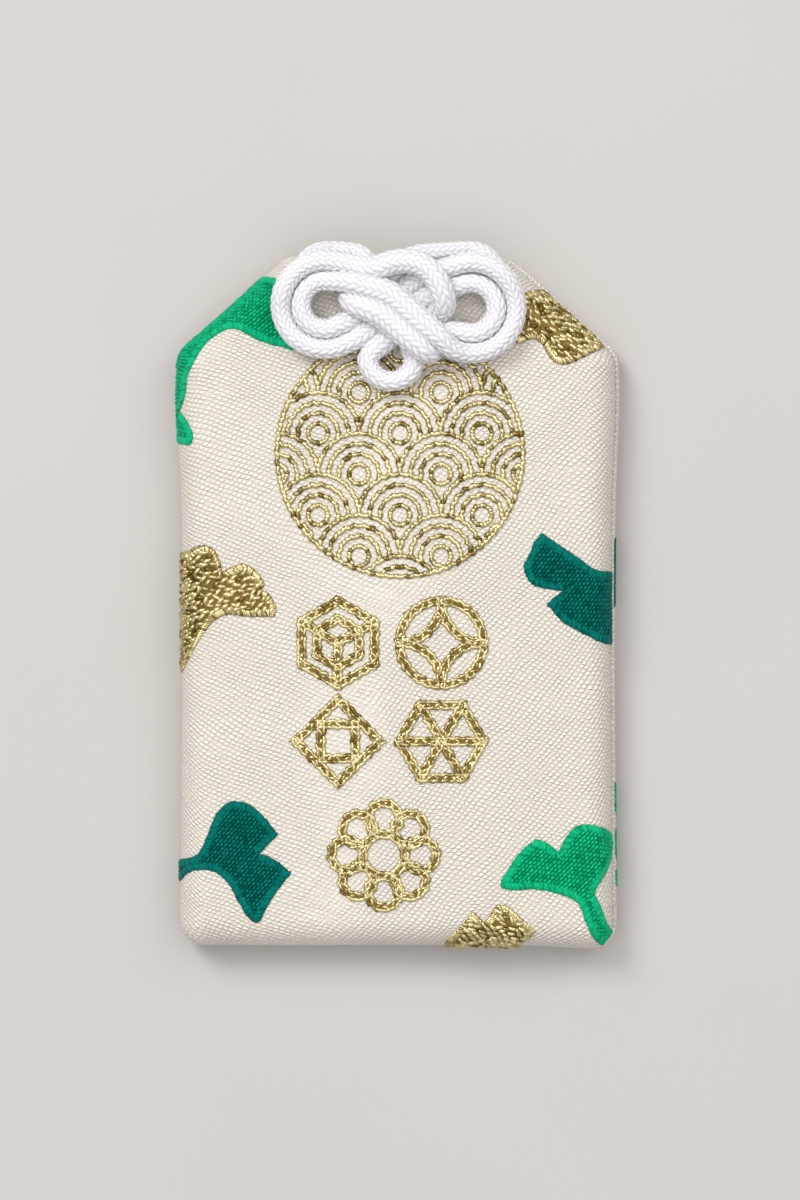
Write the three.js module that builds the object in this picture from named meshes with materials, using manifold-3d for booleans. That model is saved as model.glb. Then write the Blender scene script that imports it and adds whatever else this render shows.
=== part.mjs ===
// A flat brocade charm pouch: two sewn panels round a padded card, a wrapped slip that slides out of the
// mouth at the top, gold and green embroidery on the front, and a white cord tied in a bow over the mouth.
// Millimetres. X runs across the pouch, Y up towards the bow, Z out of the front face.

import * as THREE from 'three';
import { mergeVertices } from 'three/addons/utils/BufferGeometryUtils.js';
import Module from 'manifold-3d';

const wasm = await Module();
wasm.setup();

// Pouch outline
const POUCH_WIDTH = 45;
const POUCH_HEIGHT = 71.2;
const CHAMFER_WIDTH = 10.9;
const CHAMFER_HEIGHT = 10;
const BOTTOM_CORNER_RADIUS = 1.8;
const SHOULDER_RADIUS = 2.6;
const MOUTH_CORNER_RADIUS = 3;
const BACK_STRIP = 0.45;

// Heights above the surface that the back lies on
const SEAM_HEIGHT = 2.4;
const MOUTH_BOTTOM = 1.15;
const MOUTH_TOP = 3.95;
const FRONT_EDGE_HEIGHT = 6.4;
const FRONT_CROWN = 1.6;

// Cloth, card and clearances
const PANEL_THICKNESS = 0.6;
const LINING_THICKNESS = 0.3;
const CARD_THICKNESS = 0.6;
const CARD_BOTTOM = 3.8;
const CARD_MARGIN = 1.7;
const PAD_MARGIN = 4.4;
const PAD_RIM = 0.35;
const PAD_SHOULDER = 1;
const FRONT_EDGE_RADIUS = 3;
const BACK_EDGE_RADIUS = 2.2;
const LAYER_GAP = 0.3;
const SEAM_GAP = 0.3;
const MOUTH_BLEND = 1.4;

// Wrapped slip
const WRAPPER_WIDTH = 17;
const WRAPPER_LENGTH = 56;
const WRAPPER_HEIGHT = 2;
const WRAPPER_WALL = 0.3;
const WRAPPER_BELOW_TOP = 3.1;
const WRAPPER_TOP_Y = POUCH_HEIGHT / 2 - WRAPPER_BELOW_TOP;
const WRAPPER_BOTTOM_Z = 1.5;
const SLIP_CLEARANCE = 0.3;
const SLIP_END_MARGIN = 1;

// Embroidery
const EMBROIDERY_GAP = 0.15;
const EMBROIDERY_THICKNESS = 0.25;
const EMBROIDERY_EDGE_MARGIN = 0.6;
const GOLD_LINE = 0.6;
const ORNAMENT_LINE = 0.8;
const ROUNDEL_X = 0.15;
const ROUNDEL_Y = 0.212 * POUCH_HEIGHT;
const ROUNDEL_RADIUS = 0.177 * POUCH_HEIGHT;
const WAVE_RADIUS = ROUNDEL_RADIUS / 3;
const ORNAMENT_ROW_PITCH = 0.142 * POUCH_HEIGHT;
const ORNAMENT_ROW_GAP = 0.7;
const ORNAMENT_COLUMN_GAP = 1.2;
const ORNAMENT_RADIUS = (ORNAMENT_ROW_PITCH - ORNAMENT_LINE - ORNAMENT_ROW_GAP) / 2;
const ORNAMENT_MIDDLE_X = -0.9;
const ORNAMENT_ASIDE = ORNAMENT_RADIUS + (ORNAMENT_LINE + ORNAMENT_COLUMN_GAP) / 2;
const ORNAMENT_ROW_TOP = -0.06 * POUCH_HEIGHT;
const ORNAMENT_ROW_MIDDLE = ORNAMENT_ROW_TOP - ORNAMENT_ROW_PITCH;
const ORNAMENT_LAST_X = -1.5;
const ORNAMENT_LAST_Y = -0.367 * POUCH_HEIGHT;
const ORNAMENT_LAST_RADIUS = 1.25 * ORNAMENT_RADIUS;
const LEAF_SIZE = 10;

// Cord and bow
const CORD_DIAMETER = 1.6;
const CORD_SIDES = 8;
const CORD_STEP = 0.85;
const CORD_CLEARANCE = 0.3;
const BOW_UNIT = 0.625 * CORD_DIAMETER;
const BOW_BELOW_TOP = 5.4;
const BOW_ABOVE_EDGE = 2.1;
const BOW_Y = POUCH_HEIGHT / 2 - BOW_BELOW_TOP;
const BOW_Z = FRONT_EDGE_HEIGHT + BOW_ABOVE_EDGE;
const HINGE_ABOVE_TOP = 0.35;
const HINGE_BELOW_EDGE = 0.3;
const HINGE_X = 7 * BOW_UNIT;
const HINGE_Y = POUCH_HEIGHT / 2 + HINGE_ABOVE_TOP;
const HINGE_Z = FRONT_EDGE_HEIGHT - HINGE_BELOW_EDGE;
const EYELET_FROM_CORNER = 1.5;
const EYELET_BELOW_TOP = 3.4;
const EYELET_X = POUCH_WIDTH / 2 - CHAMFER_WIDTH - EYELET_FROM_CORNER;
const EYELET_Y = POUCH_HEIGHT / 2 - EYELET_BELOW_TOP;
const STOPPER_RADIUS = 1.15;
const STOPPER_HALF_HEIGHT = 0.9;
const STOPPER_Z = 2.5;
const LEAST_CORD_GAP = 0.25;

// Colours
const IVORY = { color: 0xe7e0d5, roughness: 0.8, metalness: 0 };
const LINING = { color: 0xd9d3c8, roughness: 0.85, metalness: 0 };
const WADDING = { color: 0xf1efea, roughness: 0.95, metalness: 0 };
const CARD = { color: 0xb9a78a, roughness: 0.9, metalness: 0 };
const PAPER = { color: 0xf3efe4, roughness: 0.85, metalness: 0 };
const CEDAR = { color: 0xd8b888, roughness: 0.75, metalness: 0 };
const GOLD = { color: 0xb99a45, roughness: 0.35, metalness: 0.8 };
const EMERALD = { color: 0x0a9b64, roughness: 0.45, metalness: 0 };
const TEAL = { color: 0x046a5c, roughness: 0.45, metalness: 0 };
const WHITE_CORD = { color: 0xf0eff4, roughness: 0.5, metalness: 0 };

// Counts that set how finely the soft forms are cut
const CORNER_STEPS = 4;
const SIDE_STEPS = [5, 7, 2, 4, 2, 7];
const EDGE_FRACTIONS = [0, 0.05, 0.2, 0.5, 1];
const CROWN_FRACTIONS = [0.67, 0.34];
const LINING_FRACTIONS = [0.3, 0.6, 1];
const SMALLEST_RADIUS = 0.3;
const PRISM_HEIGHT = 20;

const charm = new THREE.Group();

// Building blocks

function addMesh(name, geometry, finish) {
  const mesh = new THREE.Mesh(geometry, new THREE.MeshStandardMaterial(finish));
  mesh.name = name;
  charm.add(mesh);
  return mesh;
}

function toSolid(geometry) {
  const plain = new THREE.BufferGeometry();
  plain.setAttribute('position', geometry.getAttribute('position').clone());
  if (geometry.index) plain.setIndex(geometry.index.clone());
  const merged = mergeVertices(plain, 1e-4);
  const vertProperties = new Float32Array(merged.getAttribute('position').array);
  const triVerts = new Uint32Array(merged.index.array);
  return new wasm.Manifold(new wasm.Mesh({ numProp: 3, vertProperties, triVerts }));
}

function toGeometry(solid) {
  const mesh = solid.getMesh();
  const geometry = new THREE.BufferGeometry();
  geometry.setAttribute('position', new THREE.BufferAttribute(new Float32Array(mesh.vertProperties), 3));
  geometry.setIndex(new THREE.BufferAttribute(new Uint32Array(mesh.triVerts), 1));
  geometry.computeVertexNormals();
  return geometry;
}

function joinAll(solids) {
  return solids.reduce((whole, solid) => whole.add(solid));
}

function prism(shape, bottom, height, curveSegments = 8) {
  const geometry = new THREE.ExtrudeGeometry(shape, { depth: height, bevelEnabled: false, curveSegments });
  return geometry.translate(0, 0, bottom);
}

// Pouch outline: a rectangle with chamfered top corners, drawn in by an inset, with rounded corners.
// The front panel stops short of the right edge, where a strip of the back panel shows.

const OUTLINE_CORNERS = [
  [-POUCH_WIDTH / 2, -POUCH_HEIGHT / 2, BOTTOM_CORNER_RADIUS],
  [POUCH_WIDTH / 2, -POUCH_HEIGHT / 2, BOTTOM_CORNER_RADIUS],
  [POUCH_WIDTH / 2, POUCH_HEIGHT / 2 - CHAMFER_HEIGHT, SHOULDER_RADIUS],
  [POUCH_WIDTH / 2 - CHAMFER_WIDTH, POUCH_HEIGHT / 2, MOUTH_CORNER_RADIUS],
  [-POUCH_WIDTH / 2 + CHAMFER_WIDTH, POUCH_HEIGHT / 2, MOUTH_CORNER_RADIUS],
  [-POUCH_WIDTH / 2, POUCH_HEIGHT / 2 - CHAMFER_HEIGHT, SHOULDER_RADIUS],
];
const RIGHT_SIDES = [1, 2];

function outline(inset, strip = 0) {
  const count = OUTLINE_CORNERS.length;
  const lines = OUTLINE_CORNERS.map(([x, y], side) => {
    const [nextX, nextY] = OUTLINE_CORNERS[(side + 1) % count];
    const along = new THREE.Vector2(nextX - x, nextY - y).normalize();
    const inward = new THREE.Vector2(-along.y, along.x);
    const depth = inset + (RIGHT_SIDES.includes(side) ? strip : 0);
    return { start: new THREE.Vector2(x, y).addScaledVector(inward, depth), along, inward };
  });
  const corners = lines.map((line, side) => {
    const before = lines[(side + count - 1) % count];
    const cross = before.along.cross(line.along);
    const offset = line.start.clone().sub(before.start);
    const reach = offset.cross(line.along) / cross;
    const apex = before.start.clone().addScaledVector(before.along, reach);
    const radius = Math.max(OUTLINE_CORNERS[side][2] - inset, SMALLEST_RADIUS);
    const turn = Math.asin(cross);
    const tangent = radius * Math.tan(turn / 2);
    const begin = apex.clone().addScaledVector(before.along, -tangent);
    const centre = begin.clone().addScaledVector(before.inward, radius);
    const startAngle = Math.atan2(-before.inward.y, -before.inward.x);
    return { centre, radius, startAngle, turn };
  });
  const points = [];
  corners.forEach((corner, side) => {
    for (let step = 0; step <= CORNER_STEPS; step += 1) {
      const angle = corner.startAngle + (corner.turn * step) / CORNER_STEPS;
      const reach = new THREE.Vector2(Math.cos(angle), Math.sin(angle)).multiplyScalar(corner.radius);
      points.push(corner.centre.clone().add(reach));
    }
    const next = corners[(side + 1) % count];
    const from = points[points.length - 1];
    const ahead = new THREE.Vector2(Math.cos(next.startAngle), Math.sin(next.startAngle));
    const to = next.centre.clone().addScaledVector(ahead, next.radius);
    for (let step = 1; step < SIDE_STEPS[side]; step += 1) {
      points.push(from.clone().lerp(to, step / SIDE_STEPS[side]));
    }
  });
  return points;
}

function outlineShape(inset, strip = 0) {
  return new THREE.Shape(outline(inset, strip));
}

// How much of the mouth a point of the outline belongs to: 1 on the top edge, 0 below the chamfer's top
function mouthShare(point) {
  const share = (point.y - (POUCH_HEIGHT / 2 - MOUTH_BLEND)) / MOUTH_BLEND;
  return THREE.MathUtils.clamp(share, 0, 1);
}

function crownHeight(x, y) {
  const halfWidth = POUCH_WIDTH / 2 - FRONT_EDGE_RADIUS;
  const halfHeight = POUCH_HEIGHT / 2 - FRONT_EDGE_RADIUS;
  const across = 1 - (x / halfWidth) ** 2;
  const along = 1 - (y / halfHeight) ** 2;
  return FRONT_EDGE_HEIGHT + FRONT_CROWN * Math.max(across, 0) * Math.max(along, 0);
}

// Rings of the front's soft form, from its rim to near its middle, drawn in by depth below the outer face
function frontRings(depth, fractions, lift = 0) {
  const rim = outline(0, BACK_STRIP);
  const rings = fractions.map((fraction) => {
    const radius = FRONT_EDGE_RADIUS - depth;
    const ring = outline(depth + radius * fraction, BACK_STRIP);
    const bulge = Math.sqrt(1 - (1 - fraction) ** 2);
    return ring.map((point, index) => {
      const seam = SEAM_HEIGHT + SEAM_GAP / 2;
      const rimHeight = THREE.MathUtils.lerp(seam, MOUTH_TOP, mouthShare(rim[index]));
      const top = crownHeight(point.x, point.y) - depth;
      return new THREE.Vector3(point.x, point.y, rimHeight + (top - rimHeight) * bulge + lift);
    });
  });
  const edge = outline(FRONT_EDGE_RADIUS, BACK_STRIP);
  CROWN_FRACTIONS.forEach((scale) => {
    rings.push(edge.map((point) => {
      const x = point.x * scale;
      const y = point.y * scale;
      return new THREE.Vector3(x, y, crownHeight(x, y) - depth + lift);
    }));
  });
  rings.push([new THREE.Vector3(0, 0, crownHeight(0, 0) - depth + lift)]);
  return rings;
}

function backRings(depth) {
  const rim = outline(0);
  const rings = EDGE_FRACTIONS.map((fraction) => {
    const ring = outline(depth + (BACK_EDGE_RADIUS - depth) * fraction);
    const bulge = Math.sqrt(1 - (1 - fraction) ** 2);
    return ring.map((point, index) => {
      const seam = SEAM_HEIGHT - SEAM_GAP / 2;
      const rimHeight = THREE.MathUtils.lerp(seam, MOUTH_BOTTOM, mouthShare(rim[index]));
      return new THREE.Vector3(point.x, point.y, rimHeight + (depth - rimHeight) * bulge);
    });
  });
  rings.push([new THREE.Vector3(0, 0, depth)]);
  return rings;
}

// A closed solid between two faces given as rings from rim to middle; the first face looks up
function solidBetween(upper, lower) {
  const positions = [];
  const indices = [];
  const count = upper[0].length;
  function addRing(ring) {
    const first = positions.length / 3;
    ring.forEach((point) => positions.push(point.x, point.y, point.z));
    return first;
  }
  function band(outer, inner, flip) {
    for (let step = 0; step < count; step += 1) {
      const next = (step + 1) % count;
      const quad = [outer + step, outer + next, inner + next, inner + step];
      const [a, b, c, d] = flip ? quad.reverse() : quad;
      indices.push(a, b, c, a, c, d);
    }
  }
  function face(rings, flip) {
    const starts = rings.map(addRing);
    for (let ring = 0; ring < rings.length - 2; ring += 1) band(starts[ring], starts[ring + 1], flip);
    const last = starts[rings.length - 2];
    const middle = starts[rings.length - 1];
    for (let step = 0; step < count; step += 1) {
      const next = (step + 1) % count;
      indices.push(last + (flip ? next : step), last + (flip ? step : next), middle);
    }
    return starts[0];
  }
  const upperRim = face(upper, false);
  const lowerRim = face(lower, true);
  band(lowerRim, upperRim, false);
  const geometry = new THREE.BufferGeometry();
  geometry.setAttribute('position', new THREE.Float32BufferAttribute(positions, 3));
  geometry.setIndex(indices);
  return geometry;
}

// Pouch layers

function eyeletHoles(radius) {
  return [-1, 1].map((side) => {
    const hole = new THREE.CylinderGeometry(radius, radius, PRISM_HEIGHT, 12).rotateX(Math.PI / 2);
    return toSolid(hole.translate(side * EYELET_X, EYELET_Y, PRISM_HEIGHT / 2));
  });
}

const EYELET_RADIUS = CORD_DIAMETER / 2 + CORD_CLEARANCE;
const eyelets = joinAll(eyeletHoles(EYELET_RADIUS));

function frontPanel() {
  const shell = solidBetween(frontRings(0, EDGE_FRACTIONS), frontRings(PANEL_THICKNESS, EDGE_FRACTIONS));
  return toGeometry(toSolid(shell).subtract(eyelets));
}

function frontLining() {
  const upper = PANEL_THICKNESS + LAYER_GAP;
  const rings = frontRings(upper, LINING_FRACTIONS);
  const lower = frontRings(upper + LINING_THICKNESS, LINING_FRACTIONS);
  return toGeometry(toSolid(solidBetween(rings, lower)).subtract(eyelets));
}

function backPanel() {
  return solidBetween(backRings(PANEL_THICKNESS), backRings(0));
}

function backLining() {
  const bottom = PANEL_THICKNESS + LAYER_GAP;
  return prism(outlineShape(BACK_EDGE_RADIUS, BACK_STRIP), bottom, LINING_THICKNESS);
}

function stiffenerCard() {
  const card = toSolid(prism(outlineShape(CARD_MARGIN, BACK_STRIP), CARD_BOTTOM, CARD_THICKNESS));
  return toGeometry(card.subtract(eyelets));
}

// Wadding with a crown that follows the lining above it and a thin, drawn-in rim
function padding() {
  const depth = PANEL_THICKNESS + LINING_THICKNESS + 2 * LAYER_GAP;
  const bottom = CARD_BOTTOM + CARD_THICKNESS + LAYER_GAP;
  const rimRing = outline(PAD_MARGIN, BACK_STRIP);
  const rim = rimRing.map((point) => new THREE.Vector3(point.x, point.y, bottom + PAD_RIM));
  const base = rimRing.map((point) => new THREE.Vector3(point.x, point.y, bottom));
  const shoulderRing = outline(PAD_MARGIN + PAD_SHOULDER, BACK_STRIP);
  const shoulder = shoulderRing.map(({ x, y }) => new THREE.Vector3(x, y, crownHeight(x, y) - depth));
  const crown = frontRings(depth, [1]).slice(1);
  return solidBetween([rim, shoulder, ...crown], [base, [new THREE.Vector3(0, 0, bottom)]]);
}

// Wrapped slip: a flat paper sleeve, open at both ends, with a thin slip of wood in it

function wrapper() {
  const half = WRAPPER_WIDTH / 2;
  const sleeve = new THREE.Shape([
    new THREE.Vector2(-half, 0),
    new THREE.Vector2(half, 0),
    new THREE.Vector2(half, WRAPPER_HEIGHT),
    new THREE.Vector2(-half, WRAPPER_HEIGHT),
  ]);
  const inner = half - WRAPPER_WALL;
  sleeve.holes.push(new THREE.Path([
    new THREE.Vector2(-inner, WRAPPER_WALL),
    new THREE.Vector2(inner, WRAPPER_WALL),
    new THREE.Vector2(inner, WRAPPER_HEIGHT - WRAPPER_WALL),
    new THREE.Vector2(-inner, WRAPPER_HEIGHT - WRAPPER_WALL),
  ]));
  const geometry = prism(sleeve, 0, WRAPPER_LENGTH).rotateX(Math.PI / 2);
  return geometry.translate(0, WRAPPER_TOP_Y, WRAPPER_BOTTOM_Z);
}

function slip() {
  const gap = WRAPPER_WALL + SLIP_CLEARANCE;
  const width = WRAPPER_WIDTH - 2 * gap;
  const length = WRAPPER_LENGTH - 2 * SLIP_END_MARGIN;
  const geometry = new THREE.BoxGeometry(width, length, WRAPPER_HEIGHT - 2 * gap);
  const middle = WRAPPER_TOP_Y - WRAPPER_LENGTH / 2;
  return geometry.translate(0, middle, WRAPPER_BOTTOM_Z + WRAPPER_HEIGHT / 2);
}

// Embroidery: upright prisms of each motif, cut out of a thin layer that follows the front face

const embroideryLayer = toSolid(solidBetween(
  frontRings(0, EDGE_FRACTIONS, EMBROIDERY_GAP + EMBROIDERY_THICKNESS),
  frontRings(0, EDGE_FRACTIONS, EMBROIDERY_GAP),
));
const embroideryField = toSolid(prism(outlineShape(EMBROIDERY_EDGE_MARGIN, BACK_STRIP), 0, PRISM_HEIGHT));
const embroideryGround = embroideryLayer.intersect(embroideryField);

function stitched(solids) {
  return toGeometry(embroideryGround.intersect(joinAll(solids)));
}

function stroke(from, to, width) {
  const along = to.clone().sub(from).normalize().multiplyScalar(width / 2);
  const aside = new THREE.Vector2(-along.y, along.x);
  const corners = [
    from.clone().sub(along).sub(aside),
    to.clone().add(along).sub(aside),
    to.clone().add(along).add(aside),
    from.clone().sub(along).add(aside),
  ];
  return toSolid(prism(new THREE.Shape(corners), 0, PRISM_HEIGHT));
}

function ringBand(x, y, radius, width, start = 0, end = 2 * Math.PI, steps = 10) {
  const shape = new THREE.Shape();
  const whole = end - start > 2 * Math.PI - 1e-6;
  shape.absarc(x, y, radius + width / 2, start, end, false);
  if (whole) {
    const hole = new THREE.Path();
    hole.absarc(x, y, radius - width / 2, 0, 2 * Math.PI, true);
    shape.holes.push(hole);
  } else {
    shape.absarc(x, y, radius - width / 2, end, start, true);
  }
  return toSolid(prism(shape, 0, PRISM_HEIGHT, steps));
}

function polar(x, y, radius, degrees) {
  const angle = THREE.MathUtils.degToRad(degrees);
  return new THREE.Vector2(x + radius * Math.cos(angle), y + radius * Math.sin(angle));
}

function polygonStrokes(x, y, radius, sides, turn, width) {
  const corners = [];
  for (let side = 0; side < sides; side += 1) corners.push(polar(x, y, radius, turn + (side * 360) / sides));
  return corners.map((corner, side) => stroke(corner, corners[(side + 1) % sides], width));
}

// Roundel: a ring filled with rows of overlapping waves, each wave the upper half of a circle
function roundel() {
  const disc = new THREE.Shape();
  disc.absarc(ROUNDEL_X, ROUNDEL_Y, ROUNDEL_RADIUS, 0, 2 * Math.PI, false);
  const field = toSolid(prism(disc, 0, PRISM_HEIGHT, 18));
  const waves = [];
  const rows = Math.ceil((2 * ROUNDEL_RADIUS) / WAVE_RADIUS);
  const columns = Math.ceil(ROUNDEL_RADIUS / (2 * WAVE_RADIUS)) + 1;
  for (let row = 0; row <= rows; row += 1) {
    const y = ROUNDEL_Y - ROUNDEL_RADIUS - WAVE_RADIUS / 2 + row * WAVE_RADIUS;
    const shift = (row % 2) * WAVE_RADIUS;
    for (let column = -columns; column <= columns; column += 1) {
      const x = ROUNDEL_X + shift + column * 2 * WAVE_RADIUS;
      const away = Math.hypot(x - ROUNDEL_X, y - ROUNDEL_Y);
      if (away < ROUNDEL_RADIUS + WAVE_RADIUS) {
        waves.push(ringBand(x, y, WAVE_RADIUS, GOLD_LINE, 0, Math.PI, 3));
      }
    }
  }
  const ring = ringBand(ROUNDEL_X, ROUNDEL_Y, ROUNDEL_RADIUS, GOLD_LINE, 0, 2 * Math.PI, 18);
  return stitched([joinAll(waves).intersect(field), ring]);
}

// Five ornaments, each of plain geometry: hexagon, interlaced circle, star, diamonds and rosette

const INNER_SHARE = 0.58;

function hexagonOrnament(x, y, radius) {
  const spokes = [0, 120, 240].map((turn) => (
    stroke(polar(x, y, 0, 0), polar(x, y, radius, turn + 30), ORNAMENT_LINE)));
  return [
    ...polygonStrokes(x, y, radius, 6, 30, ORNAMENT_LINE),
    ...polygonStrokes(x, y, radius * INNER_SHARE, 6, 30, ORNAMENT_LINE),
    ...spokes,
  ];
}

function circleOrnament(x, y, radius) {
  const reach = radius / Math.SQRT2;
  const petals = [0, 90, 180, 270].map((turn) => {
    const centre = polar(x, y, 2 * reach, turn + 45);
    const middle = THREE.MathUtils.degToRad(turn + 225);
    return ringBand(centre.x, centre.y, radius, ORNAMENT_LINE, middle - Math.PI / 4, middle + Math.PI / 4, 3);
  });
  return [ringBand(x, y, radius, ORNAMENT_LINE, 0, 2 * Math.PI, 9), ...petals];
}

function starOrnament(x, y, radius) {
  const spokes = [0, 60, 120].map((turn) => (
    stroke(polar(x, y, radius, turn), polar(x, y, radius, turn + 180), ORNAMENT_LINE)));
  return [...polygonStrokes(x, y, radius, 6, 0, ORNAMENT_LINE), ...spokes];
}

function diamondOrnament(x, y, radius) {
  return [
    ...polygonStrokes(x, y, radius, 4, 0, ORNAMENT_LINE),
    ...polygonStrokes(x, y, radius * INNER_SHARE, 4, 45, ORNAMENT_LINE),
  ];
}

const PETALS = 8;
const PETAL_SHARE = 0.3;
const HEART_SHARE = 0.4;

function rosetteOrnament(x, y, radius) {
  const petals = [];
  for (let petal = 0; petal < PETALS; petal += 1) {
    const centre = polar(x, y, radius * (1 - PETAL_SHARE), (petal * 360) / PETALS);
    petals.push(ringBand(centre.x, centre.y, radius * PETAL_SHARE, ORNAMENT_LINE, 0, 2 * Math.PI, 4));
  }
  return [ringBand(x, y, radius * HEART_SHARE, ORNAMENT_LINE, 0, 2 * Math.PI, 5), ...petals];
}

const ORNAMENTS = [
  [hexagonOrnament, ORNAMENT_MIDDLE_X - ORNAMENT_ASIDE, ORNAMENT_ROW_TOP, ORNAMENT_RADIUS],
  [circleOrnament, ORNAMENT_MIDDLE_X + ORNAMENT_ASIDE, ORNAMENT_ROW_TOP, ORNAMENT_RADIUS],
  [diamondOrnament, ORNAMENT_MIDDLE_X - ORNAMENT_ASIDE, ORNAMENT_ROW_MIDDLE, ORNAMENT_RADIUS],
  [starOrnament, ORNAMENT_MIDDLE_X + ORNAMENT_ASIDE, ORNAMENT_ROW_MIDDLE, ORNAMENT_RADIUS],
  [rosetteOrnament, ORNAMENT_LAST_X, ORNAMENT_LAST_Y, ORNAMENT_LAST_RADIUS],
];

// Ginkgo leaf: a fan with a notch in its rim, hollow sides and a stem. The base is where stem and fan meet,
// aim is the way that the fan opens, in degrees, and spread is half of the fan's angle. The stem's tip is
// measured from the base, and like reach and notch it is in parts of LEAF_SIZE.
const LEFT = -POUCH_WIDTH / 2;
const RIGHT = POUCH_WIDTH / 2;
const TOP = POUCH_HEIGHT / 2;
const BOTTOM = -POUCH_HEIGHT / 2;
const LEAVES = [
  { name: 'leaf_green_top', finish: EMERALD, base: [LEFT + 0.21 * LEAF_SIZE, TOP - 1.2 * LEAF_SIZE],
    stem: [-0.09, -0.72], aim: 34, spread: 44, reach: 1.06, notch: 0.06, notchAt: 4 },
  { name: 'leaf_gold_top', finish: GOLD, base: [RIGHT - 0.22 * LEAF_SIZE, TOP - 0.44 * LEAF_SIZE],
    stem: [0.27, 0.18], aim: 208, spread: 52, reach: 0.82, notch: 0.17, notchAt: 6 },
  { name: 'leaf_gold_left', finish: GOLD, base: [LEFT + 0.23 * LEAF_SIZE, -0.031 * POUCH_HEIGHT],
    stem: [-0.24, -0.52], aim: 50, spread: 52, reach: 0.82, notch: 0.15, notchAt: -2 },
  { name: 'leaf_teal_right', finish: TEAL, base: [RIGHT - 0.01 * LEAF_SIZE, -0.008 * POUCH_HEIGHT],
    stem: [0.16, -0.04], aim: 172, spread: 42, reach: 0.89, notch: 0.26, notchAt: 6 },
  { name: 'leaf_teal_left', finish: TEAL, base: [LEFT + 0.23 * LEAF_SIZE, BOTTOM + 0.9 * LEAF_SIZE],
    stem: [-0.33, -0.16], aim: -2, spread: 50, reach: 0.86, notch: 0.26, notchAt: 4 },
  { name: 'leaf_green_right', finish: EMERALD, base: [RIGHT - 0.24 * LEAF_SIZE, BOTTOM + 0.6 * LEAF_SIZE],
    stem: [0.18, -0.54], aim: 130, spread: 54, reach: 0.86, notch: 0.17, notchAt: 0 },
  { name: 'leaf_gold_bottom', finish: GOLD, base: [0.209 * POUCH_WIDTH, BOTTOM - 0.24 * LEAF_SIZE],
    stem: [-0.04, -0.3], aim: 92, spread: 56, reach: 0.66, notch: 0.11, notchAt: 8 },
];
const LEAF_RIM_STEPS = 12;
const LEAF_NOTCH_WIDTH = 9;
const LEAF_SIDE_HOLLOW = 0.16;
const LEAF_DROOP = 0.12;
const STEM_WIDTH = 1.1;

function leafShape({ base: [x, y], stem: [stemX, stemY], aim, spread, reach, notch, notchAt }) {
  const base = new THREE.Vector2(x, y);
  const radius = reach * LEAF_SIZE;
  const rim = [];
  for (let step = 0; step <= LEAF_RIM_STEPS; step += 1) {
    const turn = -spread + (2 * spread * step) / LEAF_RIM_STEPS;
    const dip = notch * LEAF_SIZE * Math.exp(-(((turn - notchAt) / LEAF_NOTCH_WIDTH) ** 2));
    const droop = LEAF_DROOP * radius * (turn / spread) ** 4;
    rim.push(polar(x, y, radius - dip - droop, aim + turn));
  }
  const inward = polar(0, 0, 1, aim);
  const stemTip = new THREE.Vector2(x + stemX * LEAF_SIZE, y + stemY * LEAF_SIZE);
  const stemSide = stemTip.clone().sub(base).normalize().multiplyScalar(STEM_WIDTH / 2);
  const aside = new THREE.Vector2(-stemSide.y, stemSide.x);
  const first = rim[0];
  const last = rim[rim.length - 1];
  const hollow = inward.clone().multiplyScalar(LEAF_SIDE_HOLLOW * radius);
  const shape = new THREE.Shape();
  shape.moveTo(stemTip.x + aside.x, stemTip.y + aside.y);
  shape.lineTo(base.x + aside.x, base.y + aside.y);
  const firstBend = base.clone().lerp(first, 0.5).add(hollow);
  shape.quadraticCurveTo(firstBend.x, firstBend.y, first.x, first.y);
  rim.slice(1).forEach((point) => shape.lineTo(point.x, point.y));
  const lastBend = base.clone().lerp(last, 0.5).add(hollow);
  shape.quadraticCurveTo(lastBend.x, lastBend.y, base.x - aside.x, base.y - aside.y);
  shape.lineTo(stemTip.x - aside.x, stemTip.y - aside.y);
  return shape;
}

function leaf(spec) {
  const solid = toSolid(prism(leafShape(spec), 0, PRISM_HEIGHT, 4));
  const clear = joinAll(eyeletHoles(EYELET_RADIUS + CORD_CLEARANCE));
  return stitched([solid.subtract(clear)]);
}

// Cord: one length from eyelet to eyelet. The bow swings on the line through the tops of its two legs, so
// the tube is parted there, and the outer ends stay with the pouch.

function cordSection() {
  const section = new THREE.Shape();
  for (let side = 0; side < CORD_SIDES; side += 1) {
    const corner = polar(0, 0, CORD_DIAMETER / 2, (side * 360) / CORD_SIDES);
    if (side === 0) section.moveTo(corner.x, corner.y);
    else section.lineTo(corner.x, corner.y);
  }
  return section;
}

function tube(points) {
  const curve = new THREE.CatmullRomCurve3(points, false, 'centripetal');
  const steps = Math.ceil(curve.getLength() / CORD_STEP);
  return new THREE.ExtrudeGeometry(cordSection(), { steps, extrudePath: curve, bevelEnabled: false });
}

// Bow route: places measured from the middle of the knot, heights from the level at which the loops rest,
// in bow units, so that the whole bow grows with its cord
const LEFT_OUTER = { x: -7.55, y: 0.1, radius: 4.5 };
const LEFT_INNER = { x: -7.55, y: 0.1, radius: 2.45 };
const RIGHT_OUTER = { x: 7.4, y: -0.2, radius: 4.65 };
const RIGHT_INNER = { x: 7.4, y: -0.2, radius: 2.6 };
const LOWER_LOOP = { x: -0.75, y: -5.3, radius: 2.4 };
const LOOP_STEP_DEGREES = 15;

function bowPoint([x, y, z]) {
  return new THREE.Vector3(x, y, z).multiplyScalar(BOW_UNIT).add(new THREE.Vector3(0, BOW_Y, BOW_Z));
}

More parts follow.
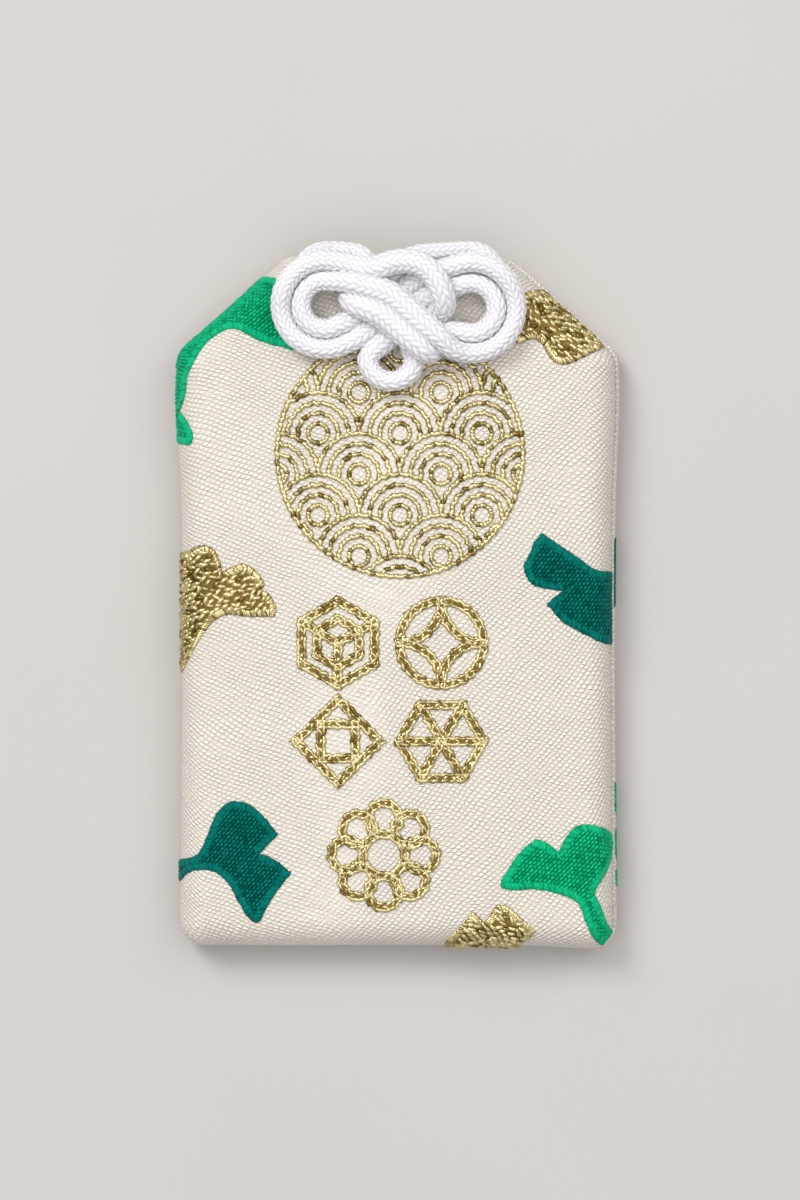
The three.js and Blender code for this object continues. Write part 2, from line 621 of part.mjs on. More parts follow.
function loop({ x, y, radius }, from, to, heights) {
  const steps = Math.round(Math.abs(to - from) / LOOP_STEP_DEGREES);
  const points = [];
  for (let step = 0; step <= steps; step += 1) {
    const share = step / steps;
    const place = polar(x, y, radius, from + (to - from) * share);
    const along = share * (heights.length - 1);
    const index = Math.min(Math.floor(along), heights.length - 2);
    const height = THREE.MathUtils.lerp(heights[index], heights[index + 1], along - index);
    points.push([place.x, place.y, height]);
  }
  return points;
}

const LEG_END = new THREE.Vector3(HINGE_X - CORD_CLEARANCE / 2, HINGE_Y, HINGE_Z);
const LEFT_LEG_END = new THREE.Vector3(-LEG_END.x, LEG_END.y, LEG_END.z);

// From the left leg under the knot to its left tip, back over it and under again at the lower right
const TIP_STRAND = [
  [-5.4, 5.65, -2.15], [-4.1, 5.35, -1.6], [-3.3, 4.6, -1], [-3.25, 3.75, -0.7], [-3.75, 2.85, -0.55],
  [-4.4, 2.05, -0.35], [-4.85, 1.25, 0.05], [-4.9, 0.55, 0.85], [-4.1, 0.05, 1.45], [-2.9, -0.4, 1.75],
  [-1.65, -1.05, 1.8], [-0.5, -1.95, 1.8], [0.6, -2.9, 1.85], [1.8, -3.9, 1.85], [2.7, -4.65, 1.55],
  [3.3, -4.85, 0.85], [3.65, -4.3, 0.1], [4.15, -3.25, -0.15], [5.05, -2.65, -0.15],
];
// Under the knot to the lower loop
const FOOT_STRAND = [
  [5.1, 1.8, -0.05], [3.6, 1.3, -0.35], [2.25, 0.5, -0.45], [1.15, -0.45, -0.4], [0.15, -1.6, -0.3],
  [-0.75, -2.8, -0.2], [-1.75, -3.8, -0.1], [-2.6, -4.55, -0.05],
];
// Under the right side, then over it and along the top
const HEAD_STRAND = [
  [1.4, -4.2, -0.05], [1.6, -2.85, -0.2], [2.55, -1.75, -0.25], [3.65, -0.9, -0.25], [4.45, -0.3, 0.4],
  [4.7, 0.3, 1.2], [4.55, 1.05, 1.7], [4.1, 2.2, 2], [3.3, 3.4, 2], [2.1, 4.2, 2], [0.7, 4.5, 1.95],
  [-0.7, 4.35, 1.9], [-1.9, 3.95, 1.7], [-3, 3.8, 1.35], [-4.1, 4, 1.1], [-5.3, 4.3, 1],
];
// Under the knot from side to side
const UNDER_STRAND = [
  [-4.4, -3.35, -0.1], [-3.15, -2.5, -0.2], [-2.1, -1.4, -0.3], [-1.25, -0.2, -0.4], [-0.25, 0.95, -0.4],
  [0.8, 1.95, -0.4], [1.6, 2.6, -0.35], [2.6, 3.1, -0.25], [3.75, 3.45, 0.05], [4.9, 3.85, 0.45],
  [6, 4.2, 0.8],
];
// Over the middle of the knot
const OVER_STRAND = [
  [5.4, -4.35, 1.25], [4.25, -3.3, 1.8], [3, -2.25, 1.85], [1.75, -1.15, 1.8], [0.65, -0.1, 1.8],
  [-0.45, 0.85, 1.8], [-1.8, 1.5, 1.75], [-3.2, 1.9, 1.7], [-4.5, 2.25, 1.7], [-5.75, 2.45, 1.35],
];
// Under the knot to the right leg
const LAST_STRAND = [
  [-5.15, -1.55, -0.1], [-4.2, -0.85, -0.35], [-3.4, 0.05, -0.45], [-2.55, 1.25, -0.45],
  [-1.25, 2.7, -0.45], [-0.2, 3.8, -0.55], [1, 4.75, -0.9], [2.35, 5.3, -1.4], [3.8, 5.5, -1.9],
  [5.3, 5.65, -2.25],
];
const BOW_TURNS = [
  ...TIP_STRAND,
  ...loop(RIGHT_INNER, -106, 112, [0.1, 0.2, 0.3, 0.3, 0.2]),
  ...FOOT_STRAND,
  ...loop(LOWER_LOOP, 188, 360, [0, 0.1, 0.2, 0.1, 0]),
  ...HEAD_STRAND,
  ...loop(LEFT_OUTER, 78, 300, [1, 1, 1, 0.9, 0.15, 0, 0, 0, 0]),
  ...UNDER_STRAND,
  ...loop(RIGHT_OUTER, 92, -98, [1, 1.05, 1, 0.4, 0, 0, 0, 0.15, 0.6]),
  ...OVER_STRAND,
  ...loop(LEFT_INNER, 80, 305, [0.9, 0.5, 0.3, 0.1, 0.1]),
  ...LAST_STRAND,
];
const BOW_ROUTE = [LEFT_LEG_END, ...BOW_TURNS.map(bowPoint), LEG_END];

// How near the cord comes to itself, apart from the length next to each place
const NEIGHBOUR_LENGTH = 2.6;

function leastGap(route) {
  const curve = new THREE.CatmullRomCurve3(route, false, 'centripetal');
  const length = curve.getLength();
  const spacing = CORD_DIAMETER / CORD_SIDES;
  const points = curve.getSpacedPoints(Math.ceil(length / spacing));
  const neighbours = Math.ceil((NEIGHBOUR_LENGTH * CORD_DIAMETER) / spacing);
  let least = Infinity;
  points.forEach((point, index) => {
    for (let other = index + neighbours; other < points.length; other += 1) {
      least = Math.min(least, point.distanceTo(points[other]));
    }
  });
  return { gap: least - CORD_DIAMETER, length };
}

const bowMeasure = leastGap(BOW_ROUTE);
console.log(`bow_cord: length ${bowMeasure.length.toFixed(1)} mm`);
console.log(`bow_cord: least gap to itself ${bowMeasure.gap.toFixed(2)} mm`);
console.assert(bowMeasure.gap > LEAST_CORD_GAP, 'the bow cord comes too close to itself');

// Outer end of a leg: over the rounded top edge, through the eyelet and down to a stopper knot. Each place
// is a share of the way across and down to the eyelet, and a height above the hinge line in bow units.
const TAIL_OVER_EDGE = [
  [0.36, 0.03, 0.25], [0.68, 0.18, 0.75], [0.9, 0.43, 1.2], [0.98, 0.68, 1.4], [1, 0.91, 0.85], [1, 1, -0.2],
];

function cordTail(side) {
  const start = HINGE_X + CORD_CLEARANCE / 2;
  const over = TAIL_OVER_EDGE.map(([across, down, up]) => [
    THREE.MathUtils.lerp(start, EYELET_X, across),
    THREE.MathUtils.lerp(HINGE_Y, EYELET_Y, down),
    HINGE_Z + up * BOW_UNIT,
  ]);
  const route = [[start, HINGE_Y, HINGE_Z], ...over, [EYELET_X, EYELET_Y, STOPPER_Z]];
  const points = route.map(([x, y, z]) => new THREE.Vector3(side * x, y, z));
  const stopper = new THREE.SphereGeometry(STOPPER_RADIUS, 10, 6);
  stopper.scale(1, 1, STOPPER_HALF_HEIGHT / STOPPER_RADIUS).translate(side * EYELET_X, EYELET_Y, STOPPER_Z);
  return toGeometry(toSolid(tube(points)).add(toSolid(stopper)));
}

// The charm

addMesh('front_panel', frontPanel(), IVORY);
addMesh('back_panel', backPanel(), IVORY);
addMesh('front_lining', frontLining(), LINING);
addMesh('back_lining', backLining(), LINING);
addMesh('stiffener_card', stiffenerCard(), CARD);
addMesh('padding', padding(), WADDING);
addMesh('talisman_wrapper', wrapper(), PAPER);
addMesh('talisman_slip', slip(), CEDAR);
addMesh('roundel', roundel(), GOLD);
ORNAMENTS.forEach(([draw, x, y, radius], index) => {
  addMesh(`ornament_${index + 1}`, stitched(draw(x, y, radius)), GOLD);
});
LEAVES.forEach((spec) => addMesh(spec.name, leaf(spec), spec.finish));
addMesh('bow_cord', tube(BOW_ROUTE), WHITE_CORD);
addMesh('cord_tail_left', cordTail(-1), WHITE_CORD);
addMesh('cord_tail_right', cordTail(1), WHITE_CORD);

export default charm;
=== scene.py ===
# Looks of a brocade charm pouch with a tied cord bow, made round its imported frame.
# Shapes are worked out in millimetres, with X across the pouch, Y up towards the bow and Z out of the front,
# and turned into metres where a mesh is made.

import math

import bpy
import numpy as np
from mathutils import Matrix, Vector, geometry


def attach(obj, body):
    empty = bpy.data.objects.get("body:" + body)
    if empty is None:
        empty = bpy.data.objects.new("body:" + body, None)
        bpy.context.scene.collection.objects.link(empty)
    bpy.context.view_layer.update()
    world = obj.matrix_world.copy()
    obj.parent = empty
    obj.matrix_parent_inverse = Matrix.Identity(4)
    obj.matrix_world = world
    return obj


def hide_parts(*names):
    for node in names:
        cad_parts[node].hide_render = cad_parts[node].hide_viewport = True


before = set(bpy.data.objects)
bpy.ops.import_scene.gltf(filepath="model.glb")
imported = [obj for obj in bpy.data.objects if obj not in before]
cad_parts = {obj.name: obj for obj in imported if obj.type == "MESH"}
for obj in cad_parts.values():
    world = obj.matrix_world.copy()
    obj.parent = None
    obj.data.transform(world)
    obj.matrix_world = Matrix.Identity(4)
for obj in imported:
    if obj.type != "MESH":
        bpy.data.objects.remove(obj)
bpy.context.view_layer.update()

MM = 0.001
TINY = 1e-9
chance = np.random.default_rng(7)

# Photograph: its size in pixels, how many pixels a millimetre has, and the pixel of the pouch's middle
PHOTO_SIZE = (800, 1200)
PIXELS_PER_MM = 9.667
PHOTO_MIDDLE = (398.5, 601.0)
CAMERA_HEIGHT = 600.0
SENSOR = 36.0

# Pouch
HALF_WIDTH = 22.5
HALF_HEIGHT = 35.6
CHAMFER = (10.9, 10.0)
CORNER_RADIUS = 2.6
STRIP = 0.45
SEAM_HEIGHT = 2.4
SEAM_GAP = 0.3
MOUTH_TOP = 3.95
MOUTH_BOTTOM = 1.15
MOUTH_BLEND = 1.4
EDGE_HEIGHT = 6.4
CROWN = 1.6
FRONT_EDGE = 3.0
BACK_EDGE = 2.2
PANEL = 0.55
LINING = 0.25
LAYER_GAP = 0.3
CARD_TOP = 4.4

# Cord
CORD_DIAMETER = 2.15
BOW_MIDDLE = np.array([0, 30.2, 8.5])
HINGE = np.array([7.0, 35.95, 6.1])
EYELET = np.array([10.1, 32.2])
STOPPER_Z = 2.5


# Directions, points and lines

def unit(vectors):
    """The same directions with a length of 1."""
    return vectors / np.maximum(np.linalg.norm(vectors, axis=-1, keepdims=True), TINY)


def left_of(ways):
    """Directions in the plane turned left by a quarter."""
    return np.stack([-ways[..., 1], ways[..., 0]], axis=-1)


def cross(first, second):
    return first[0] * second[1] - first[1] * second[0]


def around(middle, radius, degrees):
    """Points on a circle, at angles from the X axis."""
    angles = np.radians(degrees)
    return np.array(middle) + radius * np.stack([np.cos(angles), np.sin(angles)], axis=-1)


def distances(points):
    """How far along a line its points lie."""
    return np.concatenate([[0], np.cumsum(np.linalg.norm(np.diff(points, axis=0), axis=1))])


def even_line(points, step):
    """Points spaced by step along a line of points."""
    along = distances(points)
    places = np.linspace(0, along[-1], max(2, round(along[-1] / step) + 1))
    return np.column_stack([np.interp(places, along, points[:, axis]) for axis in range(points.shape[1])])


CURVE_STEPS = 16


def between(t, start, end, first, second):
    """What lies between two points at t, from the first at start to the second at end."""
    return (end - t) / (end - start) * first + (t - start) / (end - start) * second


def smooth_line(points, step):
    """Points spaced by step along a centripetal Catmull-Rom curve through the given points."""
    points = np.asarray(points, dtype=float)
    ends = [2 * points[0] - points[1], *points, 2 * points[-1] - points[-2]]
    fine = []
    for p0, p1, p2, p3 in zip(ends, ends[1:], ends[2:], ends[3:]):
        t1 = np.linalg.norm(p1 - p0) ** 0.5
        t2 = t1 + np.linalg.norm(p2 - p1) ** 0.5
        t3 = t2 + np.linalg.norm(p3 - p2) ** 0.5
        t = np.linspace(t1, t2, CURVE_STEPS, endpoint=False)[:, None]
        a1 = between(t, 0, t1, p0, p1)
        a2 = between(t, t1, t2, p1, p2)
        a3 = between(t, t2, t3, p2, p3)
        fine.append(between(t, t1, t2, between(t, 0, t2, a1, a2), between(t, t1, t3, a2, a3)))
    return even_line(np.vstack([*fine, points[-1:]]), step)


# Objects and meshes

def new_object(name, data):
    made = bpy.data.objects.new(name, data)
    bpy.context.scene.collection.objects.link(made)
    return made


def new_piece(name, points, faces, material, body="pouch", replaces=(), uv=None, tone=None):
    """A smooth-shaded mesh of points in millimetres that rides on a body and stands for CAD nodes."""
    mesh = bpy.data.meshes.new(name)
    mesh.from_pydata((np.asarray(points) * MM).tolist(), [], [list(face) for face in faces])
    mesh.polygons.foreach_set("use_smooth", [True] * len(mesh.polygons))
    corners = np.empty(len(mesh.loops), dtype=np.int32)
    mesh.loops.foreach_get("vertex_index", corners)
    if uv is not None:
        mesh.uv_layers.new(name="cloth").data.foreach_set("uv", np.asarray(uv)[corners].ravel())
    if tone is not None:
        mesh.attributes.new("tone", "FLOAT", "POINT").data.foreach_set("value", np.asarray(tone, dtype=float))
    mesh.materials.append(material)
    piece = new_object(name, mesh)
    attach(piece, body)
    if replaces:
        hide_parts(*replaces)
    return piece


def ring_faces(rings, count):
    """Quads between rings of count points."""
    ring = np.arange(rings - 1)[:, None] * count
    step = np.arange(count)[None, :]
    after = (step + 1) % count
    corners = [ring + step, ring + after, ring + count + after, ring + count + step]
    return np.stack(corners, axis=-1).reshape(-1, 4)


def closed_faces(rings, count):
    """Quads between rings of count points, and a face over the first and the last ring."""
    first = list(range(count))[::-1]
    last = list(range((rings - 1) * count, rings * count))
    return [*ring_faces(rings, count).tolist(), first, last]


# Node materials

def new_material(name, **sockets):
    """A node material and its shader, with constant values set on the shader's sockets."""
    material = bpy.data.materials.new(name)
    material.use_nodes = True
    shader = material.node_tree.nodes["Principled BSDF"]
    for socket, value in sockets.items():
        shader.inputs[socket.replace("_", " ")].default_value = value
    return material, material.node_tree, shader


def feed(tree, socket, value):
    if isinstance(value, bpy.types.NodeSocket):
        tree.links.new(value, socket)
    else:
        socket.default_value = value


def new_node(tree, kind, inputs, output=0, **settings):
    """Output of a new node, with values or other outputs fed to its inputs."""
    node = tree.nodes.new("ShaderNode" + kind)
    for name, value in settings.items():
        setattr(node, name, value)
    for socket, value in inputs.items():
        feed(tree, node.inputs[socket], value)
    return node.outputs[output]


def calc(tree, operation, *values):
    return new_node(tree, "Math", dict(enumerate(values)), operation=operation)


def scaled(tree, value, factor, plus=0.0):
    return calc(tree, "MULTIPLY_ADD", value, factor, plus)


def blend(tree, share, first, second, kind="RGBA"):
    """Colour or number between two others, by a share from 0 to 1."""
    return new_node(tree, "Mix", {"Factor": share, "A": first, "B": second}, "Result", data_type=kind)


def spread(tree, value, low, high):
    """Value moved from low to high onto 0 to 1, smoothly."""
    inputs = {"Value": value, "From Min": low, "From Max": high}
    return new_node(tree, "MapRange", inputs, "Result", interpolation_type="SMOOTHSTEP")


def noise(tree, place, scale, detail=2.0, output="Fac"):
    return new_node(tree, "TexNoise", {"Vector": place, "Scale": scale, "Detail": detail}, output)


def object_place(tree):
    """Place on the object, in millimetres."""
    place = new_node(tree, "TexCoord", {}, "Object")
    return new_node(tree, "VectorMath", {0: place, "Scale": 1 / MM}, "Vector", operation="SCALE")


# Unevenness of the threads: scales of its noise and how many millimetres it reaches
THREAD_WANDER = ((0.07, 3.0), (0.9, 0.26))


def cloth_place(tree):
    """Place on the flat cloth, in millimetres, with a slight unevenness of the threads."""
    flat = new_node(tree, "UVMap", {}, "UV", uv_map="cloth")
    place = flat
    for scale, reach in THREAD_WANDER:
        wander = noise(tree, flat, scale, output="Color")
        inputs = {0: wander, 1: (reach, reach, 0), 2: place}
        place = new_node(tree, "VectorMath", inputs, "Vector", operation="MULTIPLY_ADD")
    return place


def dot(tree, place, direction):
    return new_node(tree, "VectorMath", {0: place, 1: (*direction, 0)}, "Value", operation="DOT_PRODUCT")


def attribute(tree, name):
    return new_node(tree, "Attribute", {}, "Fac", attribute_name=name)


def bump(tree, shader, height, distance, strength=1.0):
    inputs = {"Strength": strength, "Distance": distance * MM, "Height": height}
    feed(tree, shader.inputs["Normal"], new_node(tree, "Bump", inputs, "Normal"))


def arch(tree, part, power):
    """1 in the middle of a cell and 0 at its ends, from a part of 0 to 1 across it."""
    away = calc(tree, "ABSOLUTE", scaled(tree, part, factor=2.0, plus=-1.0))
    return calc(tree, "SUBTRACT", 1.0, calc(tree, "POWER", away, power))


# Twill: floats on a slanted grid. The ribs run along one of its sides on the left of the pouch and along the
# other on the right.
FLOAT_DOWN = around((0, 0), 0.53, -21)
FLOAT_UP = around((0, 0), 0.48, 47)
# How fast the ribs turn over across the cloth and along it, from where to where
RIB_TURN = (0.07, -0.012)
RIB_TURN_RANGE = (-0.1, 0.9)


def random_value(tree, x, y=0.0):
    """A value from 0 to 1 that belongs to a pair of whole numbers."""
    cell = new_node(tree, "CombineXYZ", {"X": x, "Y": y}, "Vector")
    return new_node(tree, "TexWhiteNoise", {"Vector": cell}, "Value", noise_dimensions="2D")


def float_rows(tree, along, across):
    """Height of floats in rows that each begin at a place of their own, and a value for each float."""
    row = calc(tree, "FLOOR", across)
    along = scaled(tree, random_value(tree, row), factor=0.4, plus=along)
    gaps = scaled(tree, arch(tree, calc(tree, "FRACT", along), power=4.0), factor=0.9, plus=0.1)
    rise = calc(tree, "MULTIPLY", arch(tree, calc(tree, "FRACT", across), power=2.4), gaps)
    return rise, random_value(tree, calc(tree, "FLOOR", along), row)


def twill(tree):
    """Height of the weave, from 0 between the floats to 1 on them, and a value that belongs to each float."""
    place = cloth_place(tree)
    rows = np.linalg.inv(np.column_stack([FLOAT_DOWN, FLOAT_UP]))
    down = dot(tree, place, rows[0])
    up = dot(tree, place, rows[1])
    side = calc(tree, "ADD", dot(tree, place, RIB_TURN), noise(tree, place, scale=0.09))
    share = spread(tree, side, *RIB_TURN_RANGE)
    pairs = zip(float_rows(tree, down, up), float_rows(tree, up, down))
    return [blend(tree, share, first, second, "FLOAT") for first, second in pairs]


# Ivory cloth: a painted shade colour for the gaps between the floats, and dark and light tones that the
# floats take at random
IVORY_GAP_SHADE = (0.60, 0.53, 0.43, 1)
IVORY_DARK = (0.67, 0.63, 0.565, 1)
IVORY_LIGHT = (0.84, 0.805, 0.75, 1)


def brocade_material():
    material, tree, shader = new_material("brocade", Roughness=0.62, Sheen_Weight=0.25, Sheen_Roughness=0.4)
    height, own = twill(tree)
    fuzz = noise(tree, object_place(tree), scale=6.0)
    lift = calc(tree, "MULTIPLY", height, scaled(tree, own, factor=0.8, plus=0.5))
    lift = scaled(tree, fuzz, factor=0.3, plus=lift)
    thread = blend(tree, own, IVORY_DARK, IVORY_LIGHT)
    # Painted shade: the cloth turns to the shade colour where the weave sinks between the floats
    colour = blend(tree, spread(tree, height, low=0.0, high=0.55), IVORY_GAP_SHADE, thread)
    feed(tree, shader.inputs["Base Color"], colour)
    bump(tree, shader, lift, distance=0.13)
    return material


GRAIN_ROUGHNESS = 0.2


def thread_material(name, dark, light, roughness, metallic=0.0, grain_share=0.5):
    """Stitched thread, with a tone of its own for each stitch and a fine grain of noise."""
    material, tree, shader = new_material(name, Metallic=metallic, Specular_Tint=light)
    place = object_place(tree)
    # Besides its own random tone, each stitch's tone carries painted shade at its ends and sides
    tone = scaled(tree, attribute(tree, "tone"), factor=0.8)
    grain = noise(tree, place, scale=7.0, detail=3.0)
    share = calc(tree, "ADD", tone, scaled(tree, grain, factor=grain_share, plus=-0.12))
    feed(tree, shader.inputs["Base Color"], blend(tree, share, dark, light))
    rough = scaled(tree, grain, factor=GRAIN_ROUGHNESS, plus=roughness - GRAIN_ROUGHNESS / 2)
    feed(tree, shader.inputs["Roughness"], rough)
    bump(tree, shader, noise(tree, place, scale=11.0), distance=0.03, strength=grain_share)
    return material


BRAID_SHADE = (0.55, 0.535, 0.59, 1)
BRAID_LIGHT = (0.775, 0.77, 0.815, 1)


def cord_material():
    material, tree, shader = new_material(
        "white_braid", Roughness=0.45, Sheen_Weight=0.2, Sheen_Roughness=0.35,
        Subsurface_Weight=0.2, Subsurface_Radius=(1.0, 0.97, 1.0), Subsurface_Scale=0.8 * MM,
    )
    # Colour by the yarn's height: painted shade in the hollows between the yarns, and the yarns' own white on
    # top
    height = spread(tree, attribute(tree, "tone"), low=0.0, high=0.7)
    feed(tree, shader.inputs["Base Color"], blend(tree, height, BRAID_SHADE, BRAID_LIGHT))
    fibres = noise(tree, object_place(tree), scale=9.0, detail=3.0)
    bump(tree, shader, fibres, distance=0.03, strength=0.5)
    return material


# Turn of a plain weave's wave in each millimetre
PLAIN_WEAVE = 16.0


def plain_cloth_material(name, colour, shade):
    material, tree, shader = new_material(name, Roughness=0.8, Sheen_Weight=0.2)
    place = object_place(tree)
    across = calc(tree, "SINE", dot(tree, place, (PLAIN_WEAVE, 0)))
    along = calc(tree, "SINE", dot(tree, place, (0, PLAIN_WEAVE)))
    weave = calc(tree, "MULTIPLY", across, along)
    share = scaled(tree, weave, factor=0.3, plus=noise(tree, place, scale=0.6))
    feed(tree, shader.inputs["Base Color"], blend(tree, share, shade, colour))
    bump(tree, shader, weave, distance=0.05, strength=0.6)
    return material


# Edge of a folded sheet where it laps over itself: its X, half its width and how high it stands
LAP_PLACE = 3.0
LAP_EDGE = 0.08
LAP_HEIGHT = 6.0


def fibre_material(name, colour, shade, stretch, scale, roughness, laps=False):
    """Paper, card or wood with fibres that run along the pouch."""
    material, tree, shader = new_material(name, Roughness=roughness)
    place = object_place(tree)
    stretched = new_node(tree, "Mapping", {"Vector": place, "Scale": (1, stretch, 1)}, "Vector")
    lift = noise(tree, stretched, scale, detail=5.0)
    share = spread(tree, lift, low=0.3, high=0.7)
    feed(tree, shader.inputs["Base Color"], blend(tree, share, shade, colour))
    if laps:
        lap = spread(tree, dot(tree, place, (1, 0)), LAP_PLACE - LAP_EDGE, LAP_PLACE + LAP_EDGE)
        lift = scaled(tree, lap, factor=LAP_HEIGHT, plus=lift)
    bump(tree, shader, lift, distance=0.06, strength=0.6)
    return material


BROCADE = brocade_material()
WHITE_BRAID = cord_material()
EMERALD = thread_material(
    "emerald_thread", dark=(0.0, 0.12, 0.045, 1), light=(0.01, 0.58, 0.275, 1), roughness=0.42,
)
TEAL = thread_material(
    "teal_thread", dark=(0.0, 0.025, 0.021, 1), light=(0.004, 0.215, 0.18, 1), roughness=0.42,
)
# Gold: the dark colour that some stitches take is partly random tone and partly painted reflection, standing
# for the dark surroundings the metal reflects
GOLD = thread_material(
    "gold_thread", dark=(0.17, 0.115, 0.025, 1), light=(1.0, 0.88, 0.50, 1), roughness=0.2, metallic=0.8,
    grain_share=0.15,
)
LINING_CLOTH = plain_cloth_material(
    "lining_cloth", colour=(0.72, 0.66, 0.58, 1), shade=(0.60, 0.54, 0.46, 1),
)
WADDING = fibre_material(
    "cotton_wadding", colour=(0.88, 0.86, 0.82, 1), shade=(0.74, 0.71, 0.66, 1), stretch=1.0, scale=1.2,
    roughness=0.95,
)
CARD = fibre_material(
    "grey_card", colour=(0.50, 0.42, 0.29, 1), shade=(0.38, 0.31, 0.20, 1), stretch=0.5, scale=2.0,
    roughness=0.9,
)
PAPER = fibre_material(
    "folded_paper", colour=(0.78, 0.74, 0.66, 1), shade=(0.735, 0.69, 0.605, 1), stretch=0.4, scale=2.2,
    roughness=0.8, laps=True,
)
CEDAR = fibre_material(
    "cedar", colour=(0.72, 0.52, 0.30, 1), shade=(0.55, 0.35, 0.17, 1), stretch=0.06, scale=1.6,
    roughness=0.6,
)


# Camera, floor and light

def add_camera():
    data = bpy.data.cameras.new("camera")
    data.sensor_fit = "VERTICAL"
    data.sensor_height = SENSOR
    data.lens = SENSOR * (CAMERA_HEIGHT - SEAM_HEIGHT) * PIXELS_PER_MM / PHOTO_SIZE[1]
    camera = new_object("camera", data)
    x = (PHOTO_SIZE[0] / 2 - PHOTO_MIDDLE[0]) / PIXELS_PER_MM
    y = (PHOTO_MIDDLE[1] - PHOTO_SIZE[1] / 2) / PIXELS_PER_MM
    camera.location = Vector((x, y, CAMERA_HEIGHT)) * MM
    bpy.context.scene.camera = camera


FLOOR_REACH = 3.0
FLOOR_DARK = (0.508, 0.486, 0.472, 1)
FLOOR_LIGHT = (0.54, 0.518, 0.504, 1)


def add_floor():
    material, tree, shader = new_material("pale_floor", Roughness=0.85)
    colour = blend(tree, noise(tree, object_place(tree), scale=0.02), FLOOR_DARK, FLOOR_LIGHT)
    feed(tree, shader.inputs["Base Color"], colour)
    mesh = bpy.data.meshes.new("floor")
    corners = [(x * FLOOR_REACH, y * FLOOR_REACH, 0) for x, y in ((-1, -1), (1, -1), (1, 1), (-1, 1))]
    mesh.from_pydata(corners, [], [(0, 1, 2, 3)])
    mesh.materials.append(material)
    new_object("floor", mesh)


def add_light(name, place, size, power, colour):
    data = bpy.data.lights.new(name, "AREA")
    data.size = size
    data.energy = power
    data.color = colour
    light = new_object(name, data)
    light.location = place
    light.rotation_euler = (-Vector(place)).to_track_quat("-Z", "Y").to_euler()


# Soft surroundings: their colour, their brightness at the horizon and overhead, and the heights of a
# direction between which the one turns into the other
SKY_COLOUR = (1.0, 0.985, 0.97, 1)
SKY = (0.38, 1.38)
SKY_RANGE = (0.5, 0.96)


def add_studio():
    world = bpy.data.worlds.new("studio")
    world.use_nodes = True
    tree = world.node_tree
    background = tree.nodes["Background"]
    background.inputs["Color"].default_value = SKY_COLOUR
    way = new_node(tree, "TexCoord", {}, "Generated")
    overhead = spread(tree, new_node(tree, "SeparateXYZ", {"Vector": way}, "Z"), *SKY_RANGE)
    feed(tree, background.inputs["Strength"], scaled(tree, overhead, factor=SKY[1] - SKY[0], plus=SKY[0]))
    bpy.context.scene.world = world
    bpy.context.scene.view_settings.view_transform = "Standard"
    add_light("key", place=(-0.55, 0.65, 0.95), size=0.5, power=8.6, colour=(1.0, 0.985, 0.965))
    add_light("fill", place=(0.65, 0.5, 0.75), size=0.7, power=2.2, colour=(1.0, 0.99, 0.98))


add_camera()
add_floor()
add_studio()


# Cord: one length from eyelet to eyelet, tied in the bow. Places of the bow are measured from the middle of
# the knot, and heights from the level at which its loops rest. A loop has its middle's X and Y and its
# radius.

LEFT_OUTER = (-7.55, 0.1, 4.5)
LEFT_INNER = (-7.55, 0.1, 2.45)
RIGHT_OUTER = (7.4, -0.2, 4.65)
RIGHT_INNER = (7.4, -0.2, 2.6)
LOWER_LOOP = (-0.75, -5.3, 2.4)
LOOP_STEP = 15


def loop(ring, start, end, heights):
    """Points round part of a loop, from an angle to another, with heights spread evenly along them."""
    x, y, radius = ring
    shares = np.linspace(0, 1, round(abs(end - start) / LOOP_STEP) + 1)
    rise = np.interp(shares, np.linspace(0, 1, len(heights)), heights)
    return np.column_stack([around((x, y), radius, start + (end - start) * shares), rise]).tolist()


# From the left leg under the knot to its left tip, back over it and under again at the lower right
TIP_STRAND = [
    [-5.4, 5.65, -2.15], [-4.1, 5.35, -1.6], [-3.3, 4.6, -1], [-3.25, 3.75, -0.7], [-3.75, 2.85, -0.55],
    [-4.4, 2.05, -0.35], [-4.85, 1.25, 0.05], [-4.9, 0.55, 0.85], [-4.1, 0.05, 1.45], [-2.9, -0.4, 1.75],
    [-1.65, -1.05, 1.8], [-0.5, -1.95, 1.8], [0.6, -2.9, 1.85], [1.8, -3.9, 1.85], [2.7, -4.65, 1.55],
    [3.3, -4.85, 0.85], [3.65, -4.3, 0.1], [4.15, -3.25, -0.15], [5.05, -2.65, -0.15],
]
# Under the knot to the lower loop
FOOT_STRAND = [
    [5.1, 1.8, -0.05], [3.6, 1.3, -0.35], [2.25, 0.5, -0.45], [1.15, -0.45, -0.4], [0.15, -1.6, -0.3],
    [-0.75, -2.8, -0.2], [-1.75, -3.8, -0.1], [-2.6, -4.55, -0.05],
]
# Under the right side, then over it and along the top
HEAD_STRAND = [
    [1.4, -4.2, -0.05], [1.6, -2.85, -0.2], [2.55, -1.75, -0.25], [3.65, -0.9, -0.25], [4.45, -0.3, 0.4],
    [4.7, 0.3, 1.2], [4.55, 1.05, 1.7], [4.1, 2.2, 2], [3.3, 3.4, 2], [2.1, 4.2, 2], [0.7, 4.5, 1.95],
    [-0.7, 4.35, 1.9], [-1.9, 3.95, 1.7], [-3, 3.8, 1.35], [-4.1, 4, 1.1], [-5.3, 4.3, 1],
]
# Under the knot from side to side
UNDER_STRAND = [
    [-4.4, -3.35, -0.1], [-3.15, -2.5, -0.2], [-2.1, -1.4, -0.3], [-1.25, -0.2, -0.4],
    [-0.25, 0.95, -0.4], [0.8, 1.95, -0.4], [1.6, 2.6, -0.35], [2.6, 3.1, -0.25], [3.75, 3.45, 0.05],
    [4.9, 3.85, 0.45], [6, 4.2, 0.8],
]
# Over the middle of the knot
OVER_STRAND = [
    [5.4, -4.35, 1.25], [4.25, -3.3, 1.8], [3, -2.25, 1.85], [1.75, -1.15, 1.8], [0.65, -0.1, 1.8],
    [-0.45, 0.85, 1.8], [-1.8, 1.5, 1.75], [-3.2, 1.9, 1.7], [-4.5, 2.25, 1.7], [-5.75, 2.45, 1.35],
]
